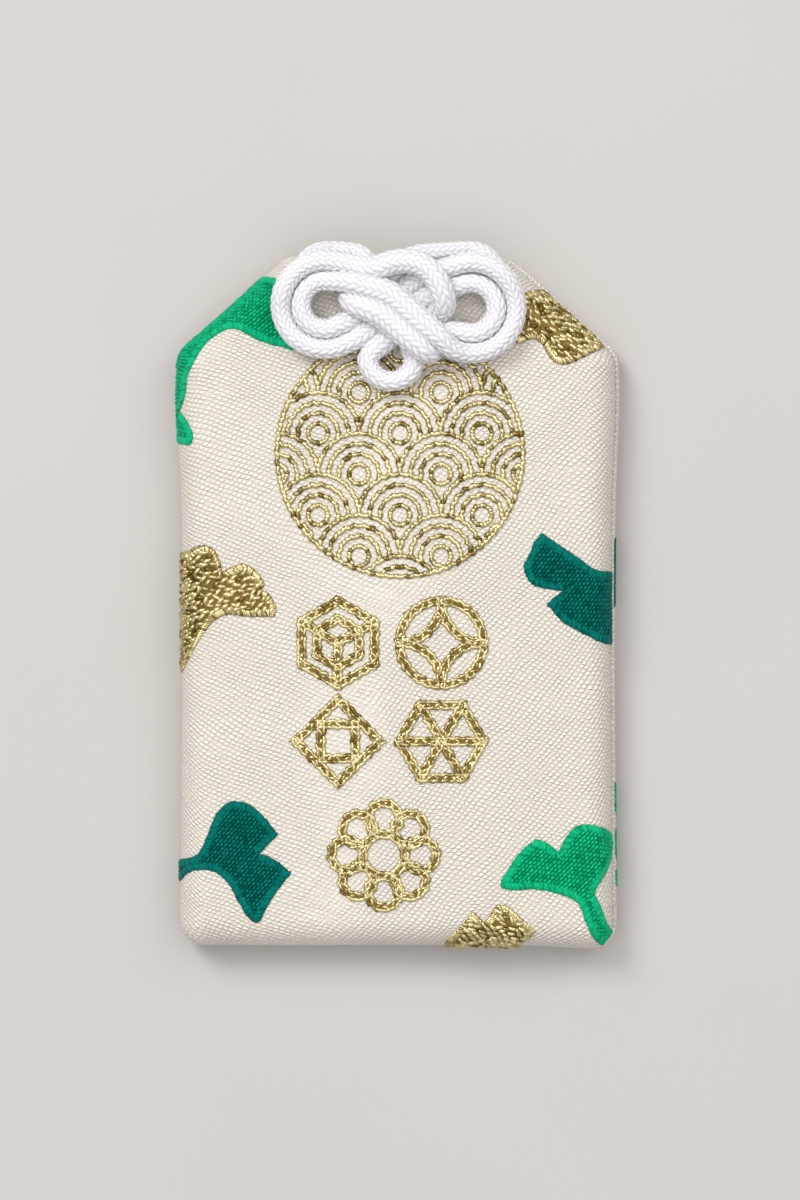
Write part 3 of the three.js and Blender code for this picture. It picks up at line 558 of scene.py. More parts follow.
# Under the knot to the right leg
LAST_STRAND = [
    [-5.15, -1.55, -0.1], [-4.2, -0.85, -0.35], [-3.4, 0.05, -0.45], [-2.55, 1.25, -0.45],
    [-1.25, 2.7, -0.45], [-0.2, 3.8, -0.55], [1, 4.75, -0.9], [2.35, 5.3, -1.4], [3.8, 5.5, -1.9],
    [5.3, 5.65, -2.25],
]
BOW_TURNS = [
    *TIP_STRAND,
    *loop(RIGHT_INNER, -106, 112, [0.1, 0.2, 0.3, 0.3, 0.2]),
    *FOOT_STRAND,
    *loop(LOWER_LOOP, 188, 360, [0, 0.1, 0.2, 0.1, 0]),
    *HEAD_STRAND,
    *loop(LEFT_OUTER, 78, 300, [1, 1, 1, 0.9, 0.15, 0, 0, 0, 0]),
    *UNDER_STRAND,
    *loop(RIGHT_OUTER, 92, -98, [1, 1.05, 1, 0.4, 0, 0, 0, 0.15, 0.6]),
    *OVER_STRAND,
    *loop(LEFT_INNER, 80, 305, [0.9, 0.5, 0.3, 0.1, 0.1]),
    *LAST_STRAND,
]
# From the hinge to the eyelet: shares of the way across and down, and heights above the hinge
TAIL_OVER_EDGE = [
    (0.36, 0.03, 0.25), (0.68, 0.18, 0.75), (0.9, 0.43, 1.2), (0.98, 0.68, 1.4), (1, 0.91, 0.85),
    (1, 1, -0.2),
]


def tail_route(side):
    """From the hinge line over the rounded edge and down through the eyelet."""
    out, back = EYELET - HINGE[:2]
    points = [
        [side * (HINGE[0] + across * out), HINGE[1] + down * back, HINGE[2] + up]
        for across, down, up in TAIL_OVER_EDGE
    ]
    return points + [[side * EYELET[0], EYELET[1], STOPPER_Z]]


# Braid: columns of short slanted yarns, which lean to either side by turns
BRAID_COLUMNS = 10
BRAID_CELL = 0.85
BRAID_DEPTH = 0.19
BRAID_SLANT = 0.9
RING_STEP = 0.11
COLUMN_STEPS = 6
# Powers that round a yarn along itself and across, and the part of a column that its round takes up
YARN_ALONG = 0.7
YARN_ACROSS = 0.6
YARN_WIDTH = 0.92
# Direction that the first ring's start is turned away from
FIRST_UP = (0.3, 0.2, 1.0)
# How much fuller the cord is in the knot, and how far from the knot's middle
KNOT_SWELL = 0.32
KNOT_REACH = 5.5


def braid(line):
    """Rings of points of a braided cord round a line, and how high each point stands on its yarn.

    The cord is fuller in the knot, where its turns press against one another.
    """
    tangents = unit(np.gradient(line, axis=0))
    across = np.cross(tangents[0], FIRST_UP)
    sideways = []
    for tangent in tangents:
        across = unit(across - tangent * across.dot(tangent))
        sideways.append(across)
    first = np.array(sideways)[:, None, :]
    second = np.cross(tangents, sideways)[:, None, :]
    turn = (np.arange(BRAID_COLUMNS * COLUMN_STEPS) + 0.5) / COLUMN_STEPS
    column = np.floor(turn)
    part = turn - column - 0.5
    lean = np.where(column % 2 == 0, 1.0, -1.0)
    along = np.arange(len(line))[:, None] * RING_STEP / BRAID_CELL
    phase = along - lean * part * BRAID_SLANT + 0.5 * (column % 2)
    cell = phase - np.floor(phase) - 0.5
    yarn = np.cos(np.pi * cell) ** YARN_ALONG * np.cos(np.pi * part * YARN_WIDTH) ** YARN_ACROSS
    away = np.linalg.norm(line[:, :2] - BOW_MIDDLE[:2], axis=1)[:, None]
    swell = 1 + KNOT_SWELL * np.exp(-((away / KNOT_REACH) ** 4))
    radius = (CORD_DIAMETER / 2 * swell - BRAID_DEPTH * (1 - yarn))[:, :, None]
    angle = (2 * np.pi * turn / BRAID_COLUMNS)[None, :, None]
    return line[:, None, :] + radius * np.cos(angle) * first + radius * np.sin(angle) * second, yarn


def add_cord():
    left_hinge = HINGE * (-1, 1, 1)
    bow = np.array(BOW_TURNS) + BOW_MIDDLE
    line = smooth_line([*tail_route(-1)[::-1], left_hinge, *bow, HINGE, *tail_route(1)], RING_STEP)
    points, yarn = braid(line)
    start = np.flatnonzero(np.linalg.norm(line - left_hinge, axis=1) < RING_STEP)[0]
    end = np.flatnonzero(np.linalg.norm(line - HINGE, axis=1) < RING_STEP)[-1]
    pieces = {
        "cord_end_left": (slice(0, start + 1), "pouch", "cord_tail_left"),
        "tied_bow": (slice(start, end + 1), "bow", "bow_cord"),
        "cord_end_right": (slice(end, len(line)), "pouch", "cord_tail_right"),
    }
    for name, (span, body, node) in pieces.items():
        rings = points[span]
        faces = closed_faces(*rings.shape[:2])
        tone = yarn[span].ravel()
        new_piece(name, rings.reshape(-1, 3), faces, WHITE_BRAID, body, [node], tone=tone)


add_cord()


# Pouch forms

# Corners from the lower left round to the upper left
OUTLINE = np.array([
    [-HALF_WIDTH, -HALF_HEIGHT], [HALF_WIDTH, -HALF_HEIGHT], [HALF_WIDTH, HALF_HEIGHT - CHAMFER[1]],
    [HALF_WIDTH - CHAMFER[0], HALF_HEIGHT], [-HALF_WIDTH + CHAMFER[0], HALF_HEIGHT],
    [-HALF_WIDTH, HALF_HEIGHT - CHAMFER[1]],
])
RIGHT_SIDES = (1, 2)
SIDE_STEPS = [100, 136, 34, 52, 34, 136]
CORNER_STEPS = 8
SMALLEST_RADIUS = 0.3


def inset_corners(inset, strip):
    """Corners of the outline drawn in by inset, by strip more on the right, and its sides' directions."""
    along = unit(np.roll(OUTLINE, -1, axis=0) - OUTLINE)
    inward = left_of(along)
    depth = np.array([inset + (strip if side in RIGHT_SIDES else 0) for side in range(len(OUTLINE))])
    starts = OUTLINE + inward * depth[:, None]
    corners = []
    for side in range(len(OUTLINE)):
        reach = cross(starts[side] - starts[side - 1], along[side]) / cross(along[side - 1], along[side])
        corners.append(starts[side - 1] + along[side - 1] * reach)
    return np.array(corners), along, inward


def outline(inset, strip=0.0):
    """Points round the outline drawn in by inset, as many for every inset."""
    corners, along, inward = inset_corners(inset, strip)
    radius = max(CORNER_RADIUS - inset, SMALLEST_RADIUS)
    arcs = []
    for side, corner in enumerate(corners):
        turn = math.asin(cross(along[side - 1], along[side]))
        begin = corner - along[side - 1] * radius * math.tan(turn / 2)
        centre = begin + inward[side - 1] * radius
        start = math.atan2(-inward[side - 1][1], -inward[side - 1][0])
        arcs.append(around(centre, radius, np.degrees(start + turn * np.linspace(0, 1, CORNER_STEPS + 1))))
    points = []
    for side, arc in enumerate(arcs):
        ahead = arcs[(side + 1) % len(arcs)][0]
        shares = np.linspace(0, 1, SIDE_STEPS[side] + 1)[1:-1, None]
        points += [arc, arc[-1] + (ahead - arc[-1]) * shares]
    return np.vstack(points)


def beyond(places, inset, strip):
    """How far places lie outside the outline drawn in by inset, below 0 inside, and its nearest points."""
    corners, _, inward = inset_corners(inset, strip)
    depths = [((places - corner) * normal).sum(axis=-1) for corner, normal in zip(corners, inward)]
    inside = np.min(depths, axis=0)
    nearest = np.full(inside.shape, np.inf)
    feet = np.zeros(places.shape)
    for start, end in zip(corners, np.roll(corners, -1, axis=0)):
        side = end - start
        share = np.clip(((places - start) * side).sum(axis=-1) / side.dot(side), 0, 1)
        foot = start + share[..., None] * side
        away = np.linalg.norm(places - foot, axis=-1)
        feet = np.where((away < nearest)[..., None], foot, feet)
        nearest = np.minimum(nearest, away)
    return np.where(inside > 0, -inside, nearest), feet


def depth_inside(x, y, strip=STRIP):
    """How far a place lies inside the rounded outline."""
    return CORNER_RADIUS - beyond(np.stack([x, y], axis=-1), CORNER_RADIUS, strip)[0]


# Fuller part of the front under the bow: its height, how far above the knot's middle it lies, and how
# far it reaches across and along
BED = 0.55
BED_SHIFT = 1.5
BED_REACH = (12.5, 3.4)
# Slow waves of the front: their height, their turn in each millimetre across and along, and where they begin
RIPPLE = 0.05
RIPPLE_ACROSS = 0.55
RIPPLE_ALONG = 0.37
RIPPLE_START = 1.3
# How far the waves across wander, and the turn of that in each millimetre along
RIPPLE_WANDER = 0.8
WANDER_TURN = 0.21


def crown(x, y):
    across = np.clip(1 - (x / (HALF_WIDTH - FRONT_EDGE)) ** 2, 0, 1)
    along = np.clip(1 - (y / (HALF_HEIGHT - FRONT_EDGE)) ** 2, 0, 1)
    from_bed = y - BOW_MIDDLE[1] - BED_SHIFT
    bed = BED * np.exp(-((from_bed / BED_REACH[1]) ** 2) - (x / BED_REACH[0]) ** 4)
    return EDGE_HEIGHT + CROWN * across * along + bed


def mouth_share(y):
    """From 0 below the mouth to 1 at its edge."""
    return np.clip((y - (HALF_HEIGHT - MOUTH_BLEND)) / MOUTH_BLEND, 0, 1)


def front_height(x, y):
    """Height of the front's outer face: a padded crown with slow waves that rolls down to the seam."""
    seam = SEAM_HEIGHT + SEAM_GAP / 2
    rim = seam + (MOUTH_TOP - seam) * mouth_share(y)
    edge = np.clip(depth_inside(x, y) / FRONT_EDGE, 0, 1)
    wander = RIPPLE_WANDER * np.sin(WANDER_TURN * y)
    ripple = RIPPLE * np.sin(RIPPLE_ACROSS * x + wander) * np.sin(RIPPLE_ALONG * y + RIPPLE_START) * edge
    return rim + (crown(x, y) - rim) * np.sqrt(1 - (1 - edge) ** 2) + ripple


def back_height(x, y):
    """Height of the back's outer face: flat, with an edge that rolls up to the seam."""
    seam = SEAM_HEIGHT - SEAM_GAP / 2
    rim = seam + (MOUTH_BOTTOM - seam) * mouth_share(y)
    edge = np.clip(depth_inside(x, y, 0.0) / BACK_EDGE, 0, 1)
    return rim * (1 - np.sqrt(1 - (1 - edge) ** 2))


# Where the sides stand out, or draw in where below 0: how far, at which Y, and how far up and down from it
SIDE_SHIFTS = ((0.42, 21, 7.5), (0.12, -33, 6), (-0.12, -3, 15))
SHIFT_START = 10
SHIFT_WIDTH = 12.5
# Lower right corner: how far it hangs down, where, and how far round
DROP = 0.4
DROP_PLACE = (21, -36)
DROP_REACH = (5, 6)


def settle(points):
    """The pouch's own unevenness: sides that stand out at the shoulders, a lower right corner that hangs."""
    x, y, z = np.asarray(points, dtype=float).T
    side = np.sign(x) * np.clip((np.abs(x) - SHIFT_START) / SHIFT_WIDTH, 0, 1) ** 2
    shift = sum(amount * np.exp(-(((y - middle) / reach) ** 2)) for amount, middle, reach in SIDE_SHIFTS)
    near_x = np.exp(-(((x - DROP_PLACE[0]) / DROP_REACH[0]) ** 2))
    near_y = np.exp(-(((y - DROP_PLACE[1]) / DROP_REACH[1]) ** 2))
    return np.column_stack([x + side * shift, y - DROP * near_x * near_y, z])


# Rings of a sheet: how far along its rolled edge each lies, and the sizes of those inside it
EDGE_FRACTIONS = 1 - np.cos(np.linspace(0, np.pi / 2, 12))
CROWN_SCALES = np.linspace(1, 0.02, 34)[1:]


def sheet_rings(edge, strip, height, start=0.0):
    """Rings of a pouch face from its rim to its middle, and their places on the flat cloth."""
    insets = start + (edge - start) * EDGE_FRACTIONS
    flat = [outline(inset, strip) for inset in insets]
    flat += [flat[-1] * scale for scale in CROWN_SCALES]
    rings = [np.column_stack([ring, height(ring[:, 0], ring[:, 1])]) for ring in flat]
    cloth = [ring[:, :2] for ring in rings]
    for index in range(len(insets) - 2, -1, -1):
        step = np.linalg.norm(rings[index] - rings[index + 1], axis=1)[:, None]
        cloth[index] = cloth[index + 1] + unit(flat[index] - flat[len(insets) - 1]) * step
    return rings, cloth


def add_sheet(name, rings, cloth, thickness, material, node, up=True):
    """A sheet of cloth with its outer face on the rings and its inner face inside."""
    count = len(rings[0])
    outer = np.vstack(rings)
    size = len(outer)
    faces = ring_faces(len(rings), count)
    cap = np.arange(size - count, size)
    grid = outer.reshape(len(rings), count, 3)
    normals = unit(np.cross(np.roll(grid, -1, axis=1) - np.roll(grid, 1, axis=1), np.gradient(grid, axis=0)))
    if not up:
        normals = -normals
    inner = outer - normals.reshape(-1, 3) * thickness
    turn = np.arange(count)
    after = np.roll(turn, -1)
    rim = np.column_stack([turn, turn + size, after + size, after])
    all_faces = [
        *faces.tolist(), cap.tolist(),
        *(faces[:, ::-1] + size).tolist(), (cap[::-1] + size).tolist(),
        *rim.tolist(),
    ]
    if not up:
        all_faces = [face[::-1] for face in all_faces]
    points = settle(np.vstack([outer, inner]))
    piece = new_piece(name, points, all_faces, material, replaces=[node], uv=np.vstack([*cloth, *cloth]))
    return piece


# Edge of the back, folded up beside the front. For each ring: how far in it lies, how far more on the
# right, how high it stands above the seam, and how much higher on the right.
LIP = ((0.10, 0.30, 0.30, 0.25), (0.04, 0.14, 0.17, 0.22))
# Right side of the lip: how far from the chamfer's end and from the foot it begins, and over what lengths
# it rises
LIP_START = (1.0, 0.5)
LIP_BLEND = (4.0, 2.0)
LIP_CLOTH = 1.03


def lip_rings():
    rings, cloth = [], []
    for inset, more, rise, rise_right in LIP:
        flat = outline(inset, more)
        right = np.clip((flat[:, 0] - HALF_WIDTH + CHAMFER[0] - LIP_START[0]) / LIP_BLEND[0], 0, 1)
        right *= np.clip((flat[:, 1] + HALF_HEIGHT - LIP_START[1]) / LIP_BLEND[1], 0, 1)
        rings.append(np.column_stack([flat, back_height(*outline(0).T) + rise + rise_right * right]))
        cloth.append(outline(-inset - more) * LIP_CLOTH)
    return rings, cloth


def add_pouch():
    rings, cloth = sheet_rings(FRONT_EDGE, STRIP, front_height)
    add_sheet("front_cloth", rings, cloth, PANEL, BROCADE, "front_panel")
    rings, cloth = sheet_rings(BACK_EDGE, 0.0, back_height)
    lip, lip_cloth = lip_rings()
    back = add_sheet("back_cloth", lip + rings, lip_cloth + cloth, PANEL, BROCADE, "back_panel", up=False)


add_pouch()


# Embroidery

# Rolled edge of the front: how far it reaches across and how long its cloth is, from the start of the roll.
# It stops a little before it stands upright.
EDGE_TURN = np.linspace(0, np.pi / 2 - 0.04, 60)
EDGE_ACROSS = FRONT_EDGE * np.sin(EDGE_TURN)
EDGE_DOWN = (EDGE_HEIGHT - SEAM_HEIGHT) * (1 - np.cos(EDGE_TURN))
EDGE_ALONG = distances(np.column_stack([EDGE_ACROSS, EDGE_DOWN]))
NORMAL_STEP = 0.05


def bend(places, given, wanted):
    """Places past the start of the rolled edge, with their distances from it changed from given to wanted."""
    past, feet = beyond(places, FRONT_EDGE, STRIP)
    share = np.interp(past, given, wanted) / np.maximum(past, TINY)
    return np.where(past[..., None] > 0, feet + (places - feet) * share[..., None], places)


def roll(places):
    """Places on the pouch, from places on the front's cloth laid flat."""
    return bend(places, EDGE_ALONG, EDGE_ACROSS)


def unroll(places):
    """Places on the front's cloth laid flat, from places on the pouch."""
    return bend(places, EDGE_ACROSS, EDGE_ALONG)


def on_front(places, lift):
    """Points lifted off the front, from places on its cloth laid flat."""
    def surface(*shift):
        flat = roll(places + shift)
        return np.concatenate([flat, front_height(flat[..., 0], flat[..., 1])[..., None]], axis=-1)

    across = surface(NORMAL_STEP, 0) - surface(-NORMAL_STEP, 0)
    along = surface(0, NORMAL_STEP) - surface(0, -NORMAL_STEP)
    return surface(0, 0) + unit(np.cross(across, along)) * np.asarray(lift)[..., None]


# A stitch: places along it, its width and height there, and angles across its round
STITCH_ALONG = np.array([-1, -0.75, 0, 0.75, 1])
STITCH_WIDTHS = np.array([0.4, 0.9, 1, 0.9, 0.4])
STITCH_RISE = np.array([0.05, 0.7, 1, 0.7, 0.05])
STITCH_TURN = np.radians([-90, -50, 0, 50, 90])
# Tones: the two shapes of their spread from dark to light, and the share left at a stitch's ends and sides,
# which are painted in shade
# On the gold, the many dark stitches are partly random tone and partly painted dark reflection
GOLD_TONES = (0.8, 0.35, 0.5)
SILK_TONES = (2.6, 1.2, 0.3)


def stitches(centres, angles, sizes, lift, tones=GOLD_TONES, lay=on_front):
    """Points, faces and tones of stitches laid on a surface, each an arch that dips into it at its ends.

    The sizes are lengths, widths and heights.
    """
    lengths, widths, heights = sizes[:, :, None, None]
    count = len(centres)
    ways = around((0, 0), 1, np.degrees(angles))
    along = STITCH_ALONG[None, :, None] * lengths / 2
    across = STITCH_WIDTHS[None, :, None] * np.sin(STITCH_TURN) * widths / 2
    rise = STITCH_RISE[None, :, None] * np.cos(STITCH_TURN) * heights
    places = centres[:, None, None, :] + along[..., None] * ways[:, None, None, :]
    places = places + across[..., None] * left_of(ways)[:, None, None, :]
    points = lay(places, lift + rise)
    long, wide = len(STITCH_ALONG), len(STITCH_TURN)
    start = np.arange(count)[:, None, None] * long * wide
    row = np.arange(long - 1)[None, :, None] * wide
    corner = start + row + np.arange(wide - 1)
    faces = np.stack([corner, corner + wide, corner + wide + 1, corner + 1], axis=-1).reshape(-1, 4)
    # Painted shade: each stitch is darker at its ends, where it dips into the cloth, and at its sides, which
    # turn away
    shade = tones[2] + (1 - tones[2]) * STITCH_RISE[:, None] * np.cos(STITCH_TURN)
    tone = chance.beta(*tones[:2], count)[:, None, None] * shade
    return points.reshape(-1, 3), faces, tone.ravel()


def varied(stitch, count, vary):
    """Sizes of stitches that each differ a little."""
    return np.array(stitch)[:, None] * chance.uniform(1 - vary, 1 + vary, (3, count))


def join(parts):
    """One set of points, faces and tones from several."""
    points, faces, tones, first = [], [], [], 0
    for some_points, some_faces, some_tones in parts:
        points.append(some_points)
        faces += (np.asarray(some_faces) + first).tolist()
        tones.append(some_tones)
        first += len(some_points)
    return np.vstack(points), faces, np.concatenate(tones)


def add_embroidery(name, parts, material, node):
    points, faces, tones = join(parts)
    piece = new_piece(name, settle(points), faces, material, replaces=[node], tone=tones)


# Gold lines: a row of short stitches that lean to either side by turns, by an angle in degrees
ROPE_STEP = 0.5
ROPE_STITCH = (0.95, 0.5, 0.3)
ROPE_LEAN = 18
ROPE_WANDER = 7
ROPE_LIFT = 0.02


def rope(line, step=ROPE_STEP, stitch=ROPE_STITCH, lean=ROPE_LEAN):
    line = smooth_line(line, step)
    way = np.gradient(line, axis=0)
    angles = np.arctan2(way[:, 1], way[:, 0]) + np.radians(lean) * np.where(np.arange(len(line)) % 2, 1, -1)
    angles += np.radians(chance.normal(0, ROPE_WANDER, len(line)))
    return stitches(line, angles, varied(stitch, len(line), vary=0.15), ROPE_LIFT)


# Wider gold lines
STROKE_WIDTH = 0.62
EDGE_STITCH = (1.1, 0.36, 0.28)
EDGE_LEAN = 12
MIDDLE_STEP = 0.8
MIDDLE_STITCH = (0.8, 0.34, 0.2)
MIDDLE_LEAN = 35
BAND_WIDTH = 0.85
BAND_LIFT = 0.1
BAND_TONE = 0.05


def band(line, side):
    """A flat band of dark thread along a line."""
    points = on_front(np.vstack([line + side * BAND_WIDTH / 2, line - side * BAND_WIDTH / 2]), BAND_LIFT)
    step = np.arange(len(line) - 1)
    faces = np.column_stack([step, step + len(line), step + len(line) + 1, step + 1])
    return points, faces, np.full(len(points), BAND_TONE)


def stroke(line):
    """A wider line: a dark band with a row of bright stitches along each edge and scattered ones between."""
    line = smooth_line(line, ROPE_STEP)
    side = left_of(unit(np.gradient(line, axis=0)))
    offsets = (STROKE_WIDTH / 2, -STROKE_WIDTH / 2)
    edges = [rope(line + side * offset, stitch=EDGE_STITCH, lean=EDGE_LEAN) for offset in offsets]
    return [band(line, side), *edges, rope(line, MIDDLE_STEP, MIDDLE_STITCH, MIDDLE_LEAN)]


# Points of an arc: the fewest, and its degrees times its radius for each
ARC_LEAST = 8
ARC_STEP = 20


def circle(middle, radius, start=0.0, end=360.0):
    count = max(ARC_LEAST, round(abs(end - start) * radius / ARC_STEP))
    return around(middle, radius, np.linspace(start, end, count))


def polygon(middle, radius, sides, turn):
    corners = around(middle, radius, turn + 360 * np.arange(sides + 1) / sides)
    return [np.array(pair) for pair in zip(corners, corners[1:])]


def spokes(middle, radius, turns):
    return [np.array([middle, end]) for end in around(middle, radius, turns)]


# Roundel of wave scales: rows of circles, each row in front of the one above it
ROUNDEL = (0.15, 15.1)
ROUNDEL_RADIUS = 12.6
ROUNDEL_MARGIN = 0.35
WAVE_RADIUS = 4.2
WAVE_LINES = (1.0, 0.74, 0.49, 0.24)
WAVE_ROWS = 8
WAVE_COLUMNS = range(-3, 4)
WAVE_GAP = 0.3
WAVE_STEP = 0.1
SHORTEST_RUN = 5
# In small circles, steps by the radius, and stitches by the step
STEP_BY_RADIUS = 0.34
STITCH_BY_STEP = 1.9


def wave_centres():
    rows = []
    for row in range(WAVE_ROWS):
        y = ROUNDEL[1] - ROUNDEL_RADIUS - WAVE_RADIUS / 2 + row * WAVE_RADIUS
        x = ROUNDEL[0] + (row % 2) * WAVE_RADIUS
        rows.append([(x + column * 2 * WAVE_RADIUS, y) for column in WAVE_COLUMNS])
    return rows


def runs(line, keep):
    """The stretches of a line where keep is true, but for the shortest."""
    breaks = np.flatnonzero(np.diff(keep.astype(int))) + 1
    parts = zip(np.split(line, breaks), np.split(keep, breaks))
    return [part for part, kept in parts if kept[0] and len(part) >= SHORTEST_RUN]


def wave(middle, radius, in_front):
    """Ropes along the part of a circle that shows in the roundel and past the waves in front."""
    line = smooth_line(circle(middle, radius, -90, 270), WAVE_STEP)
    keep = np.hypot(*(line - ROUNDEL).T) < ROUNDEL_RADIUS - ROUNDEL_MARGIN
    for front in in_front:
        keep &= np.hypot(*(line - front).T) > WAVE_RADIUS + WAVE_GAP
    keep &= line[:, 1] > middle[1] - WAVE_RADIUS / 2
    step = min(ROPE_STEP, STEP_BY_RADIUS * radius)
    return [rope(part, step, (STITCH_BY_STEP * step, *ROPE_STITCH[1:])) for part in runs(line, keep)]


def add_roundel():
    parts = [rope(circle(ROUNDEL, ROUNDEL_RADIUS))]
    in_front = []
    for centres in wave_centres():
        for middle in centres:
            for share in WAVE_LINES:
                parts += wave(middle, WAVE_RADIUS * share, in_front)
        in_front = centres
    add_embroidery("gold_roundel", parts, GOLD, "roundel")


# Five ornaments: two rows of two, with a rosette below them
ORNAMENT = 4.3
LEFT_COLUMN = -6.2
RIGHT_COLUMN = 4.4
TOP_ROW = -4.3
MIDDLE_ROW = -14.4
INNER_SHARE = 0.58
ROSETTE = (-1.5, -26.1)
ROSETTE_REACH = 3.76
ROSETTE_RING = 1.6
ROSETTE_MIDDLE = 2.15


def add_ornaments():
    top_left, top_right = (LEFT_COLUMN, TOP_ROW), (RIGHT_COLUMN, TOP_ROW)
    left, right = (LEFT_COLUMN, MIDDLE_ROW), (RIGHT_COLUMN, MIDDLE_ROW)
    inner = ORNAMENT * INNER_SHARE
    arcs = [
        circle(around(top_right, math.sqrt(2) * ORNAMENT, turn), ORNAMENT, turn + 135, turn + 225)
        for turn in (45, 135, 225, 315)
    ]
    rings = [circle(middle, ROSETTE_RING) for middle in around(ROSETTE, ROSETTE_REACH, np.arange(0, 360, 45))]
    designs = [
        [
            *polygon(top_left, ORNAMENT, 6, 30), *polygon(top_left, inner, 6, 30),
            *spokes(top_left, ORNAMENT, (30, 150, 270)),
        ],
        [circle(top_right, ORNAMENT), *arcs],
        [*polygon(left, ORNAMENT, 4, 0), *polygon(left, inner, 4, 45)],
        [*polygon(right, ORNAMENT, 6, 0), *spokes(right, ORNAMENT, np.arange(0, 360, 60))],
        [circle(ROSETTE, ROSETTE_MIDDLE), *rings],
    ]
    for number, lines in enumerate(designs, 1):
        parts = [part for line in lines for part in stroke(line)]
        add_embroidery(f"gold_ornament_{number}", parts, GOLD, f"ornament_{number}")


add_roundel()
add_ornaments()


# Leaves: material, slot, the angle of the rows of stitches, and an outline drawn on the pouch, with a 1 at
# each sharp corner. Outlines run off the pouch where the cloth is cut through them.
LEAVES = {
    "leaf_green_top": (EMERALD, "emerald_thread", 40, [
        (-14.6, 33.4, 1), (-13.2, 33.3), (-12.0, 32.8), (-10.4, 31.2), (-9.9, 28.6), (-10.8, 25.8, 1),
        (-14.1, 26.7), (-17.1, 28.0), (-19.5, 26.7), (-20.7, 24.8), (-21.4, 23.0), (-21.6, 21.2),
        (-22.2, 19.5, 1), (-21.5, 18.6), (-20.9, 16.8), (-21.3, 16.1), (-22.3, 16.3), (-24.5, 17, 1),
        (-24.5, 25, 1)]),
    "leaf_gold_top": (GOLD, "gold_thread", -35, [
        (12.2, 26.5), (13.7, 26.9), (14.5, 26.6), (15.9, 24.6), (17.0, 24.3), (19.5, 25.4), (21.0, 26.2, 1),
        (15.3, 32.3, 1), (13.0, 31.6), (12.0, 30.8), (11.6, 28.6)]),
    "leaf_gold_left": (GOLD, "gold_thread", 20, [
        (-24, 5.0, 1), (-22.2, 5.0), (-20.1, 5.7), (-18.9, 5.1), (-18.3, 3.8), (-18.2, 3.0, 1),
        (-17.2, 3.4), (-15.9, 3.8), (-14.6, 3.0), (-13.8, 1.7), (-14.1, 1.1, 1), (-13.4, 0.8),
        (-12.6, -0.7), (-12.8, -1.6, 1), (-15.4, -1.6), (-17.7, -1.4), (-19.1, -2.1), (-20.3, -3.6),
        (-21.5, -5.6), (-22.3, -7.1), (-24, -9, 1)]),
    "leaf_teal_right": (TEAL, "teal_thread", 52, [
        (14.8, 6.9, 1), (16.4, 5.8), (18.8, 4.2), (20.3, 3.2), (22.0, 3.0), (24, 3.0, 1), (24, -4.4, 1),
        (21.7, -4.4), (20.9, -4.2), (18.8, -3.2), (16.9, -2.1), (15.3, -0.3, 1), (16.1, 0.4),
        (17.0, 1.0, 1), (15.6, 1.2), (13.8, 1.7), (13.1, 2.6), (12.9, 3.6), (13.5, 4.9), (14.0, 6.1)]),
    "leaf_teal_left": (TEAL, "teal_thread", 48, [
        (-24, -27.0, 1), (-22.4, -26.7), (-20.6, -26.0), (-19.7, -24.3), (-18.7, -21.9), (-17.7, -20.9),
        (-16.9, -20.6), (-15.4, -20.9), (-13.8, -22.2), (-12.4, -24.0, 1), (-13.2, -24.8),
        (-14.3, -26.0, 1), (-13.3, -26.3), (-12.1, -27.0), (-11.1, -28.0, 1), (-12.3, -29.5),
        (-13.5, -31.4), (-14.5, -33.0), (-15.4, -32.5), (-16.5, -30.7), (-17.4, -29.1), (-18.7, -27.9),
        (-20.2, -27.6), (-21.5, -27.9), (-22.5, -28.9), (-24, -30, 1)]),
    "leaf_green_right": (EMERALD, "emerald_thread", 45, [
        (10.5, -29.2), (11.4, -27.4), (12.7, -25.6), (14.2, -24.5, 1), (15.3, -24.9), (16.4, -25.8, 1),
        (17.4, -24.1), (18.3, -23.2), (19.3, -23.0), (20.8, -23.3), (21.8, -23.9), (21.9, -26.3),
        (21.3, -27.9), (20.1, -29.9), (20.5, -30.8), (21.3, -32.8), (22.0, -34.0), (21.9, -35.2),
        (21.4, -35.4), (20.1, -34.4), (19.2, -32.7), (18.4, -30.9), (16.8, -30.1), (14.3, -29.6),
        (11.1, -29.6)]),
    "leaf_gold_bottom": (GOLD, "gold_thread", -20, [
        (4.9, -35.1, 1), (6.6, -33.2), (7.7, -32.0, 1), (8.2, -32.4), (8.8, -33.0, 1), (9.4, -32.3),
        (10.2, -31.3), (11.0, -31.3), (12.4, -32.4), (14.0, -33.9, 1), (13.5, -34.6), (12.7, -35.3),
        (12.0, -37, 1), (5.0, -37, 1)]),
}
FINE_STEP = 0.02
LEAF_STEP = 0.2
LEAF_END = 0.25
LEAF_LIFT = 0.06
GROUND_STEP = 0.5
GROUND_MARGIN = 0.3
# Tone of the layer under the stitches: painted shade in the pits between them
GROUND_SHADE_TONE = 0.02
# Kind of triangulation, only inside the outline, and how close points may lie
INSIDE_ONLY = 1
CLOSEST = 1e-5
FILL_MARGIN = 0.4
SILK_FILL = {"row": 0.34, "stitch": (0.52, 0.28, 0.2), "wander": 0.02, "turn": 5, "tones": SILK_TONES}
GOLD_FILL = {"row": 0.41, "stitch": (1.0, 0.44, 0.32), "wander": 0.1, "turn": 26, "tones": GOLD_TONES}
BORDER_STITCH = (0.95, 0.28, 0.2)
BORDER_INSET = 0.4
BORDER_LEAN = 25
BORDER_WANDER = 5
BORDER_LIFT = 0.04


def leaf_outline(points):
    """A closed outline on the flat cloth through the points, smooth but for its sharp corners."""
    first = next(index for index, point in enumerate(points) if len(point) == 3)
    points = points[first:] + points[:first] + [points[first]]
    sharp = [index for index, point in enumerate(points) if len(point) == 3]
    spans = [[point[:2] for point in points[start:end + 1]] for start, end in zip(sharp, sharp[1:])]
    return np.vstack([even_line(unroll(smooth_line(span, FINE_STEP)), LEAF_STEP)[:-1] for span in spans])


